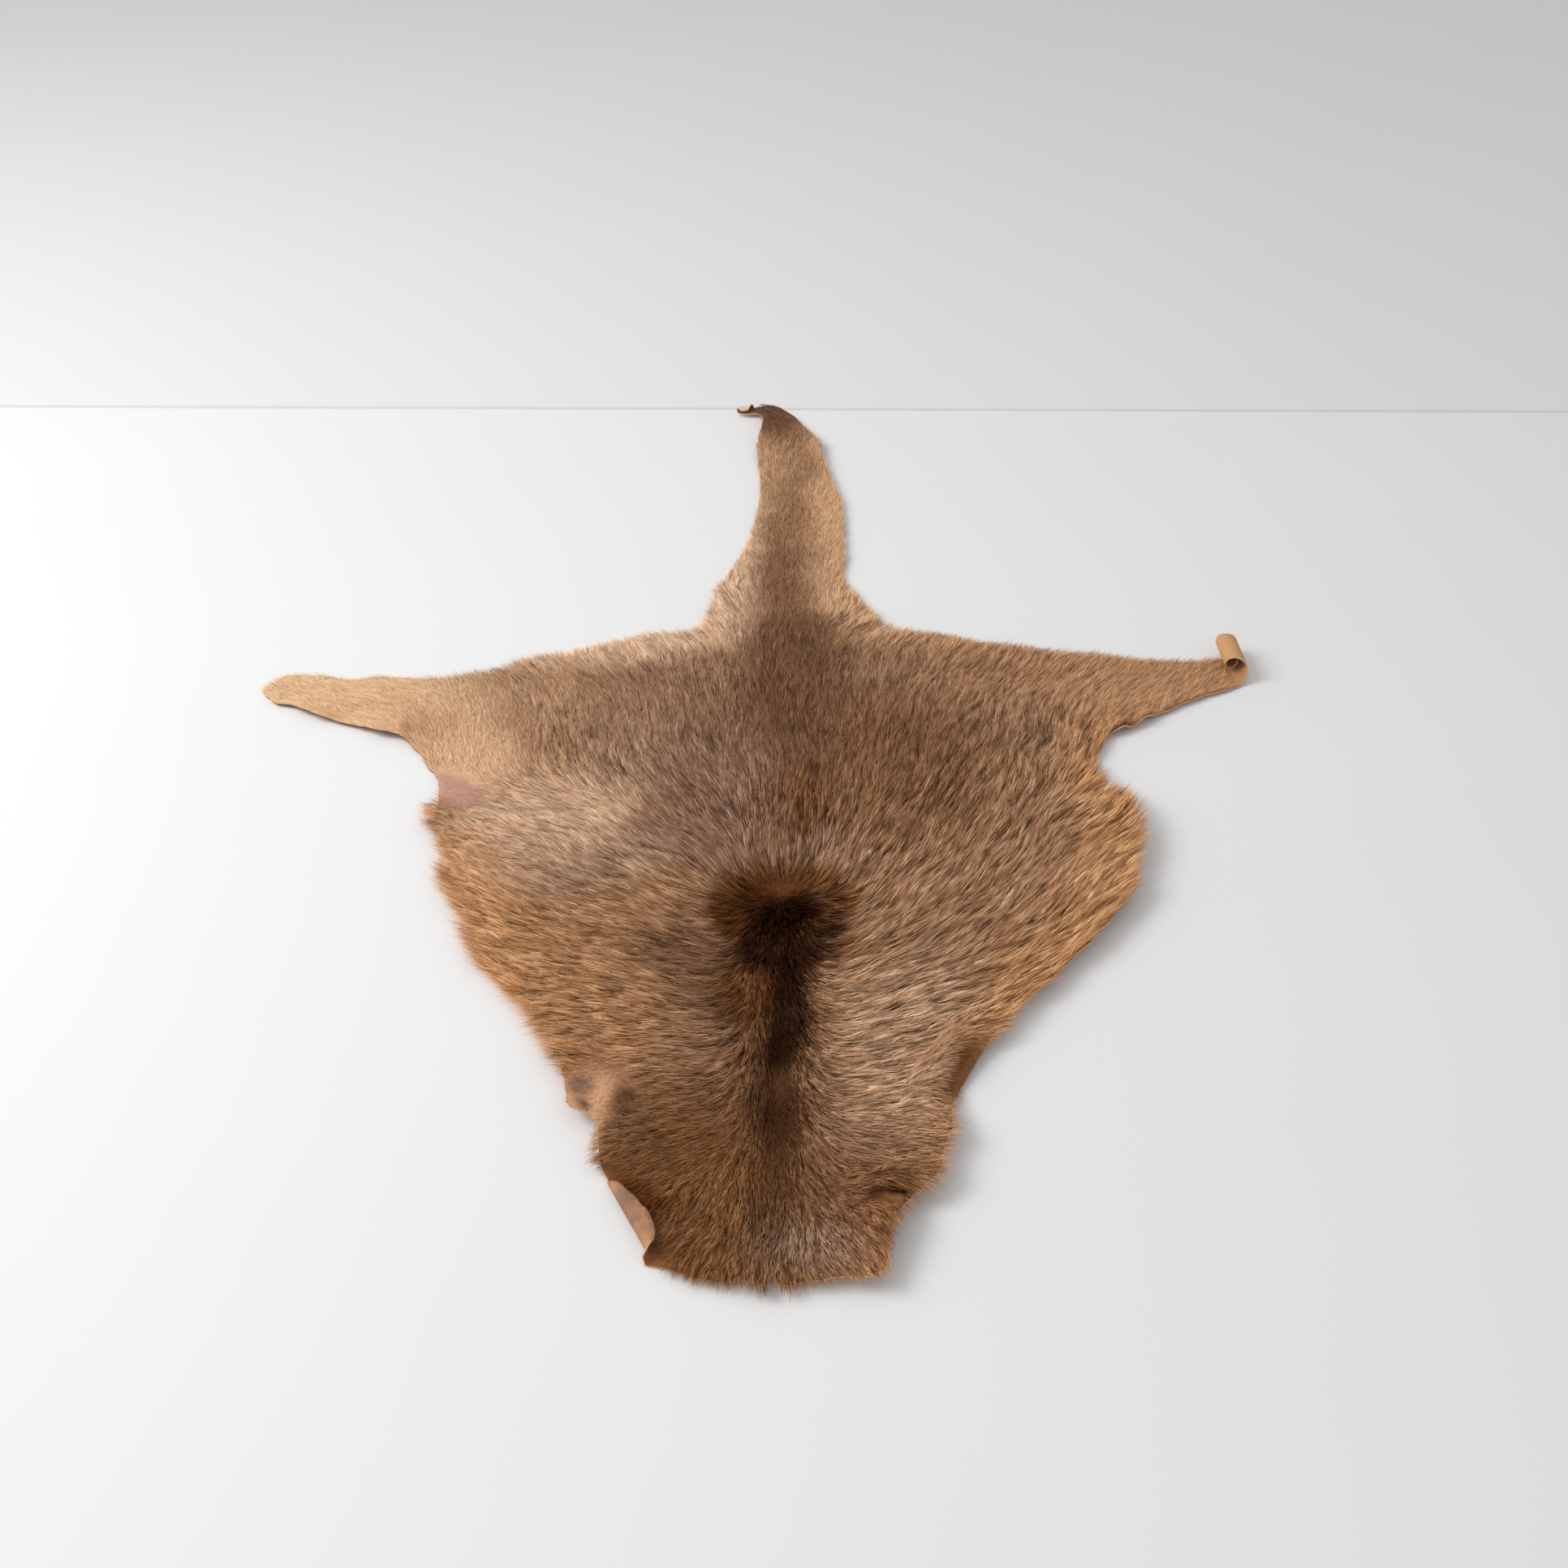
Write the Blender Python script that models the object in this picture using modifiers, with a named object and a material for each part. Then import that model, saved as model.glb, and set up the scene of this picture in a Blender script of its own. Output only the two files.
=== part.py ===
"""Kangaroo hide rug: one tanned skin with its fur on, laid flat with the fur up and the tail pointing away.

The skin is cut as one sheet. Its edge is worked out from the tables below, which give the cut before the right
leg was rolled up, the tail tip curled over and the left edge of the neck turned back onto the fur. The sheet is
bent by those tables, then thickened by the height of the pile. Metres, +Z up, tail towards +Y.
"""

import math
import random
from collections import namedtuple

import bpy
import numpy as np
from mathutils import Vector, geometry, noise

NAME = "kangaroo_hide_rug"

# Pile heights, from the flesh side to the tips of the fur
PILE_BODY = 0.0105
PILE_LEG = 0.0055
PILE_TAIL = 0.0070
PILE_RIM = 0.0026
RIM_WIDTH = 0.024
LUMP_HEIGHT = 0.0042
LUMP_LENGTH = 0.042

# Where the short pile of the legs and the tail starts, and over what length it changes
SPINE_X = 0.010
LEG_FROM, LEG_BLEND, LEG_FRONT = 0.26, 0.12, -0.12
TAIL_FROM, TAIL_BLEND = 0.10, 0.12

# Spacing of the mesh's points, from the finely cut edge to the open middle
SPLINE_PARTS = 12
FINE_STEP = 0.0020
EDGE_STEP = 0.0095
RING_INSET, RING_STEP, RING_GAP = 0.010, 0.0130, 0.0070
CURL_STEP, CURL_GAP = 0.0052, 0.0045
FOLD_GAP = 0.0062
GRID_STEP, GRID_GAP = 0.0205, 0.0125
EDGE_SHARE = 0.7
NARROW_FOLD, FOLD_TRACE = 0.0165, 0.02

# How far inwards a lifted edge reaches and the least that isn't pressed flat on the floor, how long a curl can be,
# and where its pile turns short
LIFT_WIDTH, LEAST_LIFT = 0.060, 0.0008
CURL_CUT = 0.120
CURL_EASE, CURL_SIDE = 0.022, 0.012

# Locks of fur that stand out past the edge of the skin, of uneven length and spacing
LOCK_PITCH = 0.0130
LOCK_LENGTH = 0.0062
LOCK_INSET = 0.60
LOCK_UNEVEN = 0.55
LOCK_LEAN = 0.7
LEAST_SHAG = 0.15
LOCK_SEED = 7

# Where the hair parts on the back, and how it turns away from there
WHORL_X, WHORL_Y = 0.022, -0.271
SPREAD_WIDTH = 0.12
NEUTRAL_SLOPE, NEUTRAL_DEPTH = 1.5, 0.24
TURN_LENGTH = 0.41

# The middle of the rug's own box, which becomes the origin
CENTRE_X, CENTRE_Y = -0.0055, -0.0078

Across = namedtuple("Across", "y left left_lift right right_lift shag")
Along = namedtuple("Along", "x back back_lift front front_lift shag")
Spot = namedtuple("Spot", "x y lift shag")
Curl = namedtuple("Curl", "name x y heading reach fade radius turn pitch pile")
Fold = namedtuple("Fold", "name x y heading length width height")

# The neck's front edge, from the left corner to the right one, with the notch over the nape
NECK_FRONT = (
    Spot(-0.062, -0.684, 0.000, 0.2),
    Spot(-0.050, -0.692, 0.000, 0.8),
    Spot(-0.030, -0.700, 0.000, 0.9),
    Spot(-0.006, -0.701, 0.000, 0.9),
    Spot(0.010, -0.699, 0.002, 0.0),
    Spot(0.015, -0.691, 0.004, 0.0),
    Spot(0.020, -0.700, 0.002, 0.0),
    Spot(0.042, -0.700, 0.000, 0.7),
    Spot(0.064, -0.699, 0.006, 0.7),
    Spot(0.087, -0.698, 0.010, 0.5),
    Spot(0.096, -0.687, 0.011, 0.3),
)

# Neck and belly, from front to back. The left edge is the cut before it was turned back at the neck
BODY = (
    Across(-0.674, -0.0900, 0.000, 0.095, 0.012, 0.0),
    Across(-0.662, -0.1015, 0.000, 0.097, 0.012, 0.0),
    Across(-0.648, -0.1072, 0.000, 0.101, 0.012, 0.0),
    Across(-0.632, -0.111, 0.000, 0.111, 0.012, 0.0),
    Across(-0.618, -0.111, 0.000, 0.123, 0.010, 0.0),
    Across(-0.605, -0.106, 0.000, 0.135, 0.010, 0.0),
    Across(-0.584, -0.116, 0.002, 0.143, 0.010, 0.5),
    Across(-0.572, -0.116, 0.004, 0.147, 0.010, 0.4),
    Across(-0.558, -0.116, 0.007, 0.149, 0.010, 0.1),
    Across(-0.550, -0.122, 0.011, 0.150, 0.008, 0.0),
    Across(-0.543, -0.137, 0.014, 0.150, 0.006, 0.0),
    Across(-0.530, -0.141, 0.012, 0.151, 0.004, 0.0),
    Across(-0.508, -0.146, 0.008, 0.161, 0.002, 0.0),
    Across(-0.480, -0.157, 0.004, 0.180, 0.006, 0.6),
    Across(-0.455, -0.171, 0.002, 0.197, 0.008, 1.0),
    Across(-0.430, -0.187, 0.002, 0.217, 0.008, 1.0),
    Across(-0.405, -0.209, 0.002, 0.240, 0.008, 1.0),
    Across(-0.380, -0.228, 0.002, 0.262, 0.010, 1.0),
    Across(-0.350, -0.243, 0.003, 0.288, 0.012, 1.0),
    Across(-0.320, -0.252, 0.003, 0.309, 0.010, 1.0),
    Across(-0.290, -0.268, 0.002, 0.325, 0.010, 1.0),
    Across(-0.260, -0.279, 0.002, 0.331, 0.008, 1.0),
    Across(-0.230, -0.282, 0.003, 0.340, 0.010, 1.0),
    Across(-0.200, -0.294, 0.004, 0.345, 0.012, 1.0),
    Across(-0.176, -0.301, 0.004, 0.342, 0.012, 0.8),
)

RIGHT_ARMPIT = (
    Spot(0.339, -0.157, 0.008, 0.6),
    Spot(0.325, -0.143, 0.004, 0.2),
    Spot(0.314, -0.128, 0.002, 0.0),
    Spot(0.314, -0.108, 0.000, 0.0),
    Spot(0.319, -0.082, 0.000, 0.0),
    Spot(0.327, -0.064, 0.002, 0.0),
)

# The right hind leg, from the thigh outwards, with the end that is rolled up
RIGHT_LEG = (
    Along(0.340, 0.103, 0.000, -0.045, 0.002, 0.3),
    Along(0.349, 0.101, 0.000, -0.041, 0.005, 0.2),
    Along(0.362, 0.097, 0.000, -0.031, 0.002, 0.1),
    Along(0.373, 0.094, 0.000, -0.024, 0.005, 0.1),
    Along(0.386, 0.091, 0.000, -0.014, 0.003, 0.1),
    Along(0.405, 0.088, 0.000, 0.001, 0.003, 0.0),
    Along(0.430, 0.088, 0.000, 0.018, 0.003, 0.0),
    Along(0.455, 0.090, 0.000, 0.030, 0.002, 0.0),
    Along(0.476, 0.096, 0.000, 0.042, 0.000, 0.0),
    Along(0.500, 0.106, 0.000, 0.057, 0.000, 0.0),
    Along(0.520, 0.110, 0.000, 0.065, 0.000, 0.0),
    Along(0.540, 0.113, 0.000, 0.071, 0.000, 0.0),
    Along(0.558, 0.112, 0.000, 0.079, 0.000, 0.0),
)
RIGHT_TIP = (Spot(0.566, 0.096, 0.000, 0.0),)

RIGHT_RUMP = (
    Spot(0.300, 0.106, 0.000, 0.5),
    Spot(0.268, 0.116, 0.000, 0.5),
    Spot(0.227, 0.125, 0.000, 0.6),
    Spot(0.190, 0.140, 0.000, 0.6),
    Spot(0.158, 0.145, 0.000, 0.6),
    Spot(0.136, 0.146, 0.000, 0.4),
    Spot(0.121, 0.162, 0.000, 0.4),
)

# The tail, from its root to where it bends to the left
TAIL = (
    Across(0.184, -0.056, 0.000, 0.114, 0.000, 0.3),
    Across(0.212, -0.053, 0.000, 0.104, 0.000, 0.3),
    Across(0.236, -0.049, 0.000, 0.094, 0.000, 0.3),
    Across(0.265, -0.038, 0.000, 0.089, 0.000, 0.2),
    Across(0.300, -0.028, 0.000, 0.092, 0.003, 0.2),
    Across(0.335, -0.018, 0.000, 0.091, 0.003, 0.2),
    Across(0.375, -0.012, 0.002, 0.092, 0.003, 0.2),
    Across(0.415, -0.008, 0.002, 0.091, 0.003, 0.2),
    Across(0.460, -0.006, 0.002, 0.086, 0.003, 0.2),
    Across(0.505, -0.008, 0.002, 0.077, 0.004, 0.2),
    Across(0.545, -0.011, 0.004, 0.071, 0.006, 0.2),
    Across(0.577, -0.010, 0.006, 0.068, 0.006, 0.0),
    Across(0.605, -0.006, 0.010, 0.056, 0.006, 0.0),
    Across(0.632, -0.003, 0.012, 0.046, 0.004, 0.0),
)
TAIL_TIP = (
    Spot(0.037, 0.655, 0.003, 0.0),
    Spot(0.026, 0.676, 0.000, 0.0),
    Spot(0.013, 0.692, 0.000, 0.0),
    Spot(0.002, 0.693, 0.000, 0.0),
    Spot(-0.008, 0.687, 0.000, 0.0),
    Spot(-0.015, 0.684, 0.000, 0.0),
    Spot(-0.021, 0.691, 0.000, 0.0),
    Spot(-0.031, 0.693, 0.000, 0.0),
    Spot(-0.037, 0.684, 0.000, 0.0),
    Spot(-0.034, 0.668, 0.000, 0.0),
    Spot(-0.024, 0.662, 0.000, 0.0),
    Spot(-0.013, 0.661, 0.005, 0.0),
    Spot(-0.005, 0.649, 0.008, 0.0),
)

LEFT_RUMP = (
    Spot(-0.068, 0.150, 0.000, 0.4),
    Spot(-0.092, 0.140, 0.000, 0.5),
    Spot(-0.124, 0.139, 0.000, 0.6),
    Spot(-0.171, 0.116, 0.000, 0.6),
    Spot(-0.203, 0.103, 0.000, 0.6),
    Spot(-0.244, 0.090, 0.000, 0.6),
    Spot(-0.264, 0.073, 0.000, 0.6),
    Spot(-0.300, 0.064, 0.000, 0.5),
)

# The left hind leg, from its tip inwards
LEFT_LEG = (
    Along(-0.484, 0.060, 0.000, 0.016, 0.000, 0.1),
    Along(-0.474, 0.064, 0.000, 0.009, 0.002, 0.1),
    Along(-0.460, 0.065, 0.000, 0.003, 0.004, 0.1),
    Along(-0.437, 0.062, 0.000, -0.012, 0.007, 0.0),
    Along(-0.412, 0.055, 0.000, -0.022, 0.003, 0.0),
    Along(-0.390, 0.061, 0.000, -0.031, 0.004, 0.0),
    Along(-0.366, 0.060, 0.000, -0.044, 0.008, 0.1),
    Along(-0.348, 0.059, 0.000, -0.049, 0.004, 0.1),
    Along(-0.326, 0.060, 0.000, -0.073, 0.000, 0.2),
)
LEFT_TIP = (Spot(-0.4986, 0.037, 0.000, 0.2),)

LEFT_ARMPIT = (
    Spot(-0.315, -0.090, 0.000, 0.0),
    Spot(-0.306, -0.105, 0.000, 0.0),
    Spot(-0.299, -0.121, 0.002, 0.0),
    Spot(-0.295, -0.142, 0.004, 0.0),
    Spot(-0.298, -0.158, 0.004, 0.6),
)

# Where the skin leaves the floor and rolls or folds over: each starts on a line across its heading, in degrees
CURLS = (
    Curl("leg scroll", 0.4765, 0.074, 2.0, 0.100, 0.010, 0.0136, 540.0, 0.0058, 0.0026),
    Curl("tail tip", -0.030, 0.672, 94.0, 0.014, 0.006, 0.0046, 205.0, 0.0, 0.0022),
    Curl("turned edge", -0.0838, -0.6379, 207.0, 0.042, 0.012, 0.0058, 186.0, 0.0, 0.0026),
)

# Soft ridges in the skin, each along its heading in degrees
FOLDS = (
    Fold("left lip", -0.107, -0.531, 88.0, 0.044, 0.016, 0.012),
    Fold("right crest", 0.150, -0.484, 55.0, 0.072, 0.022, 0.014),
    Fold("neck corner", 0.086, -0.634, 80.0, 0.058, 0.030, 0.008),
    Fold("slit ridge", 0.100, -0.613, 8.0, 0.044, 0.013, 0.008),
    Fold("leg crease", -0.345, -0.043, -70.0, 0.030, 0.010, 0.004),
    Fold("first edge arch", 0.350, -0.038, 62.0, 0.026, 0.010, 0.004),
    Fold("second edge arch", 0.375, -0.021, 62.0, 0.026, 0.010, 0.004),
    Fold("armpit crease", -0.268, -0.140, -8.0, 0.060, 0.016, 0.005),
    Fold("right flank", 0.300, -0.270, 60.0, 0.110, 0.050, 0.006),
    Fold("right thigh", 0.210, 0.020, 70.0, 0.070, 0.040, 0.004),
    Fold("left thigh", -0.180, 0.030, 110.0, 0.080, 0.040, 0.004),
    Fold("tail root", 0.030, 0.170, 0.0, 0.070, 0.034, 0.004),
)

# Where the pile is parted or flattened: the height is how far its top sinks
PARTINGS = (
    Fold("neck slit", 0.098, -0.626, 8.0, 0.028, 0.009, 0.0085),
    Fold("nape", 0.019, -0.500, 90.0, 0.200, 0.016, 0.0030),
    Fold("lip valley", -0.091, -0.508, -63.0, 0.036, 0.018, 0.0075),
    Fold("bare patch", -0.285, -0.118, -40.0, 0.036, 0.030, 0.0080),
    Fold("whorl", 0.022, -0.271, 0.0, 0.026, 0.026, 0.0030),
)


def clear_scene():
    """Removes everything that the scene starts with."""
    for thing in list(bpy.data.objects):
        bpy.data.objects.remove(thing, do_unlink=True)


def smooth(t):
    """0 to 1 with level ends, for t from 0 to 1."""
    t = np.clip(t, 0.0, 1.0)
    return t * t * (3.0 - 2.0 * t)


def edge_rows():
    """The cut edge's own points, anticlockwise from the neck's left corner, as x, y, lift and shag."""
    rows = list(NECK_FRONT)
    rows += [Spot(r.right, r.y, r.right_lift, r.shag) for r in BODY]
    rows += RIGHT_ARMPIT
    rows += [Spot(r.x, r.front, r.front_lift, r.shag) for r in RIGHT_LEG]
    rows += RIGHT_TIP
    rows += [Spot(r.x, r.back, r.back_lift, r.shag) for r in reversed(RIGHT_LEG)]
    rows += RIGHT_RUMP
    rows += [Spot(r.right, r.y, r.right_lift, r.shag) for r in TAIL]
    rows += TAIL_TIP
    rows += [Spot(r.left, r.y, r.left_lift, r.shag) for r in reversed(TAIL)]
    rows += LEFT_RUMP
    rows += [Spot(r.x, r.back, r.back_lift, r.shag) for r in reversed(LEFT_LEG)]
    rows += LEFT_TIP
    rows += [Spot(r.x, r.front, r.front_lift, r.shag) for r in LEFT_LEG]
    rows += LEFT_ARMPIT
    rows += [Spot(r.left, r.y, r.left_lift, r.shag) for r in reversed(BODY)]
    return np.array(rows)


def splined(rows, parts):
    """A closed Catmull-Rom curve through the rows, cut into the given number of parts between each two."""
    before, after, second = np.roll(rows, 1, 0), np.roll(rows, -1, 0), np.roll(rows, -2, 0)
    pieces = []
    for t in np.arange(parts) / parts:
        curve = 2 * rows + (after - before) * t
        curve += (2 * before - 5 * rows + 4 * after - second) * t**2
        curve += (3 * rows - before - 3 * after + second) * t**3
        pieces.append(curve / 2)
    return np.stack(pieces, 1).reshape(-1, rows.shape[1])


def evenly(rows, step):
    """The closed curve again, with points an even step apart."""
    closed = np.vstack([rows, rows[:1]])
    lengths = np.hypot(*np.diff(closed[:, :2], axis=0).T)
    run = np.concatenate([[0.0], np.cumsum(lengths)])
    wanted = np.linspace(0.0, run[-1], round(run[-1] / step), endpoint=False)
    return np.stack([np.interp(wanted, run, closed[:, k]) for k in range(rows.shape[1])], 1)


def combed(x, y):
    """The unit direction in which the hair lies at a place on the back."""
    side = x - WHORL_X
    neutral = WHORL_Y - min(NEUTRAL_SLOPE * abs(side), NEUTRAL_DEPTH)
    lean = Vector((max(-1.0, min(1.0, side / SPREAD_WIDTH)), (y - neutral) / TURN_LENGTH))
    return lean.normalized()


def with_locks(edge):
    """The finely cut edge, coarser, with locks of fur on its shaggy stretches that lean the way the hair lies."""
    draw = random.Random(LOCK_SEED)
    points, run, is_tip = [], 0.0, False
    while round(run / FINE_STEP) < len(edge) - 1:
        i = round(run / FINE_STEP)
        x, y, lift, shag = edge[i]
        ahead, behind = edge[(i + 1) % len(edge)], edge[i - 1]
        outwards = Vector((ahead[1] - behind[1], behind[0] - ahead[0])).normalized()
        uneven = draw.uniform(1 - LOCK_UNEVEN, 1 + LOCK_UNEVEN)
        move, step = Vector((0, 0)), EDGE_STEP
        if shag > LEAST_SHAG:
            way = (outwards + LOCK_LEAN * combed(x, y)).normalized() if is_tip else -LOCK_INSET * outwards
            move, step = way * LOCK_LENGTH * shag * uneven**2, LOCK_PITCH / 2 * uneven
        points.append((x + move.x, y + move.y, lift))
        is_tip = not is_tip
        run += step
    return np.array(points)


def distances(points, line):
    """From each point to each point of a closed line cut fine, in a table."""
    return np.hypot(points[:, None, 0] - line[None, :, 0], points[:, None, 1] - line[None, :, 1])


def is_inside(points, line):
    """Which points the closed line goes round, by counting the crossings of a ray along +X."""
    ahead = np.roll(line, -1, axis=0)
    x, y = points[:, 0, None], points[:, 1, None]
    crosses = (line[None, :, 1] > y) != (ahead[None, :, 1] > y)
    rise = ahead[:, 1] - line[:, 1]
    rise = np.where(np.abs(rise) < 1e-9, 1e-9, rise)
    meet = line[:, 0] + (y - line[:, 1]) * (ahead[:, 0] - line[:, 0]) / rise
    return (crosses & (x < meet)).sum(axis=1) % 2 == 1


def grid(low, high, step):
    """Points in staggered rows over a box."""
    rows = []
    for j, y in enumerate(np.arange(low[1], high[1], step * math.sqrt(0.75))):
        xs = np.arange(low[0] + (j % 2) * step / 2, high[0], step)
        rows.append(np.stack([xs, np.full_like(xs, y)], 1))
    return np.concatenate(rows)


def curl_frame(points, curl):
    """How far each point is past the curl's line, and along that line."""
    angle = math.radians(curl.heading)
    ahead, aside = (math.cos(angle), math.sin(angle)), (-math.sin(angle), math.cos(angle))
    offset = points[:, :2] - (curl.x, curl.y)
    return offset @ ahead, offset @ aside


def in_curl(points, curl, margin):
    """Which points a curl moves, or nearly does."""
    past, along = curl_frame(points, curl)
    return (past > -margin) & (np.abs(along) < curl.reach + margin) & (past < CURL_CUT)


def in_small_fold(points):
    """Which points lie in a fold or parting too narrow for the even grid."""
    narrow = [fold for fold in FOLDS + PARTINGS if fold.width < NARROW_FOLD]
    return np.max([bump(points, fold) for fold in narrow], axis=0) > FOLD_TRACE


def inner_points(edge):
    """The sheet's inner points: fine in the curls, one ring along the edge, and an even grid elsewhere."""
    fine_edge = evenly(edge, FINE_STEP)
    low, high = edge.min(axis=0), edge.max(axis=0)
    ring_line = evenly(edge, RING_STEP)
    turn = np.roll(ring_line, -1, 0) - np.roll(ring_line, 1, 0)
    inwards = np.stack([-turn[:, 1], turn[:, 0]], 1) / np.hypot(turn[:, 0], turn[:, 1])[:, None]
    ring = ring_line[:, :2] + RING_INSET * inwards
    close = grid(low, high, CURL_STEP)
    fine = np.zeros(len(close), bool)
    for curl in CURLS:
        fine |= in_curl(close, curl, CURL_STEP)
    chosen = np.zeros((0, 2))
    for candidates, gap in (
        (close[fine], CURL_GAP),
        (close[in_small_fold(close)], FOLD_GAP),
        (ring, RING_GAP),
        (grid(low, high, GRID_STEP), GRID_GAP),
    ):
        candidates = candidates[is_inside(candidates, fine_edge)]
        room = distances(candidates, fine_edge).min(axis=1) > min(gap, RING_INSET) * EDGE_SHARE
        candidates = candidates[room]
        if len(chosen):
            candidates = candidates[distances(candidates, chosen).min(axis=1) > gap]
        chosen = np.vstack([chosen, thinned(candidates, gap)])
    return chosen


def thinned(points, gap):
    """The points without those nearer than a gap to one kept before."""
    kept = np.zeros((0, 2))
    for point in points:
        if not len(kept) or np.hypot(*(kept - point).T).min() >= gap:
            kept = np.vstack([kept, point])
    return kept


def rolled(past, curl, strength):
    """How far ahead and how high a point of the sheet comes, at a length past the curl's line."""
    turn = math.radians(curl.turn) * strength
    shrink = curl.pitch / (2 * math.pi)
    if shrink:
        root = np.maximum(curl.radius**2 - 2 * shrink * past, 1e-9)
        angle = (curl.radius - np.sqrt(root)) / shrink
    else:
        angle = past / curl.radius
    angle = np.minimum(angle, turn)
    used = curl.radius * angle - shrink * angle**2 / 2
    left = np.maximum(past - used, 0.0)
    radius = curl.radius - shrink * angle
    ahead = radius * np.sin(angle) + left * np.cos(angle)
    height = curl.radius - radius * np.cos(angle) + left * np.sin(angle)
    return ahead, height


def bump(points, fold):
    """1 on the middle of a fold, falling to 0 at its length and width."""
    angle = math.radians(fold.heading)
    offset = points[:, :2] - (fold.x, fold.y)
    along = np.abs(offset @ (math.cos(angle), math.sin(angle))) / fold.length
    across = np.abs(offset @ (-math.sin(angle), math.cos(angle))) / fold.width
    return smooth(1 - along) * smooth(1 - across)


def laid(points, edge):
    """The flat sheet's points where they lie, with lifted edges, folds and curls."""
    fine_edge = evenly(edge, EDGE_STEP / 2)
    near = np.clip(1 - distances(points, fine_edge) / LIFT_WIDTH, 0, 1) ** 2
    height = (near * fine_edge[None, :, 2]).max(axis=1)
    for fold in FOLDS:
        height += fold.height * bump(points, fold)
    height[height < LEAST_LIFT] = 0.0
    placed = np.column_stack([points[:, :2], height])
    for curl in CURLS:
        past, along = curl_frame(points, curl)
        moved = (past > 0) & in_curl(points, curl, 0.0)
        strength = smooth((curl.reach - np.abs(along)) / curl.fade)
        ahead, rise = rolled(np.maximum(past, 0), curl, strength)
        angle = math.radians(curl.heading)
        step = np.where(moved, ahead - past, 0.0)
        placed[:, 0] += step * math.cos(angle)
        placed[:, 1] += step * math.sin(angle)
        placed[:, 2] += np.where(moved, rise, 0.0)
    return placed


def pile_height(points, edge):
    """How thick the fur lies over each point of the flat sheet."""
    x, y = points[:, 0], points[:, 1]
    leg = smooth((np.abs(x - SPINE_X) - LEG_FROM) / LEG_BLEND) * (y > LEG_FRONT)
    tail = smooth((y - TAIL_FROM) / TAIL_BLEND)
    full = PILE_BODY + (PILE_LEG - PILE_BODY) * leg + (PILE_TAIL - PILE_BODY) * tail
    lumps = [noise.noise(Vector((px, py, 0.0)) / LUMP_LENGTH) for px, py in points[:, :2]]
    full = full + LUMP_HEIGHT * np.array(lumps)
    for parting in PARTINGS:
        full = full - parting.height * bump(points, parting)
    inside = distances(points, evenly(edge, EDGE_STEP / 2)).min(axis=1)
    pile = PILE_RIM + np.maximum(full - PILE_RIM, 0.0) * smooth(inside / RIM_WIDTH)
    for curl in CURLS:
        past, along = curl_frame(points, curl)
        close = smooth(1 + past / CURL_EASE) * smooth(1 + (curl.reach - np.abs(along)) / CURL_SIDE)
        close = close * (past < CURL_CUT)
        pile = pile + (curl.pile - pile) * close
    return pile


def fur_material():
    """Short golden-brown fur."""
    material = bpy.data.materials.new("fur")
    material.use_nodes = True
    shader = material.node_tree.nodes["Principled BSDF"]
    shader.inputs["Base Color"].default_value = (0.33, 0.18, 0.085, 1.0)
    shader.inputs["Roughness"].default_value = 0.8
    shader.inputs["Metallic"].default_value = 0.0
    return material


def suede_material():
    """The tanned flesh side."""
    material = bpy.data.materials.new("suede")
    material.use_nodes = True
    shader = material.node_tree.nodes["Principled BSDF"]
    shader.inputs["Base Color"].default_value = (0.55, 0.30, 0.12, 1.0)
    shader.inputs["Roughness"].default_value = 0.9
    shader.inputs["Metallic"].default_value = 0.0
    return material


def build_hide(collection):
    """The whole skin with its fur, as one solid."""
    edge = with_locks(evenly(splined(edge_rows(), SPLINE_PARTS), FINE_STEP))
    flat = np.vstack([edge[:, :2], inner_points(edge)])
    ring = list(range(len(edge)))
    found = geometry.delaunay_2d_cdt([Vector(p) for p in flat], [], [ring], 1, 1e-7)
    flat = np.array([tuple(p) for p in found[0]])
    placed = laid(flat, edge) - (CENTRE_X, CENTRE_Y, 0.0)
    pile = pile_height(flat, edge)

    mesh = bpy.data.meshes.new("hide")
    mesh.from_pydata([tuple(p) for p in placed], [], [tuple(f) for f in found[2]])
    mesh.materials.append(fur_material())
    mesh.materials.append(suede_material())
    mesh.shade_smooth()
    hide = bpy.data.objects.new("hide", mesh)
    collection.objects.link(hide)

    top = float(pile.max())
    group = hide.vertex_groups.new(name="pile")
    for i, height in enumerate(pile):
        group.add([i], float(height) / top, "REPLACE")
    thicken = hide.modifiers.new("pile", "SOLIDIFY")
    thicken.thickness = top
    thicken.offset = 1.0
    thicken.vertex_group = group.name
    thicken.use_rim = True
    thicken.material_offset = 1
    return hide


def main():
    clear_scene()
    collection = bpy.data.collections.new(NAME)
    bpy.context.scene.collection.children.link(collection)
    build_hide(collection)


main()
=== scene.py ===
# %% [markdown]
# The rug is one tanned skin with its fur on. On the real one there are three things to look at: a sheet of
# leather a little over a millimetre thick, hundreds of thousands of hairs that grow out of it in a pattern,
# and the colour that each hair has by where it grows. So the skin is made first, as a fine mesh that is
# cut, lifted, folded and rolled. The fur is then scattered on it with Geometry Nodes, and every hair reads
# its length, lean and colour from the skin under it.

# %% Load the packed model as a fixed frame
import math
from collections import namedtuple

import bpy
import numpy as np
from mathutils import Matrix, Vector, geometry, kdtree, noise


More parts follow.
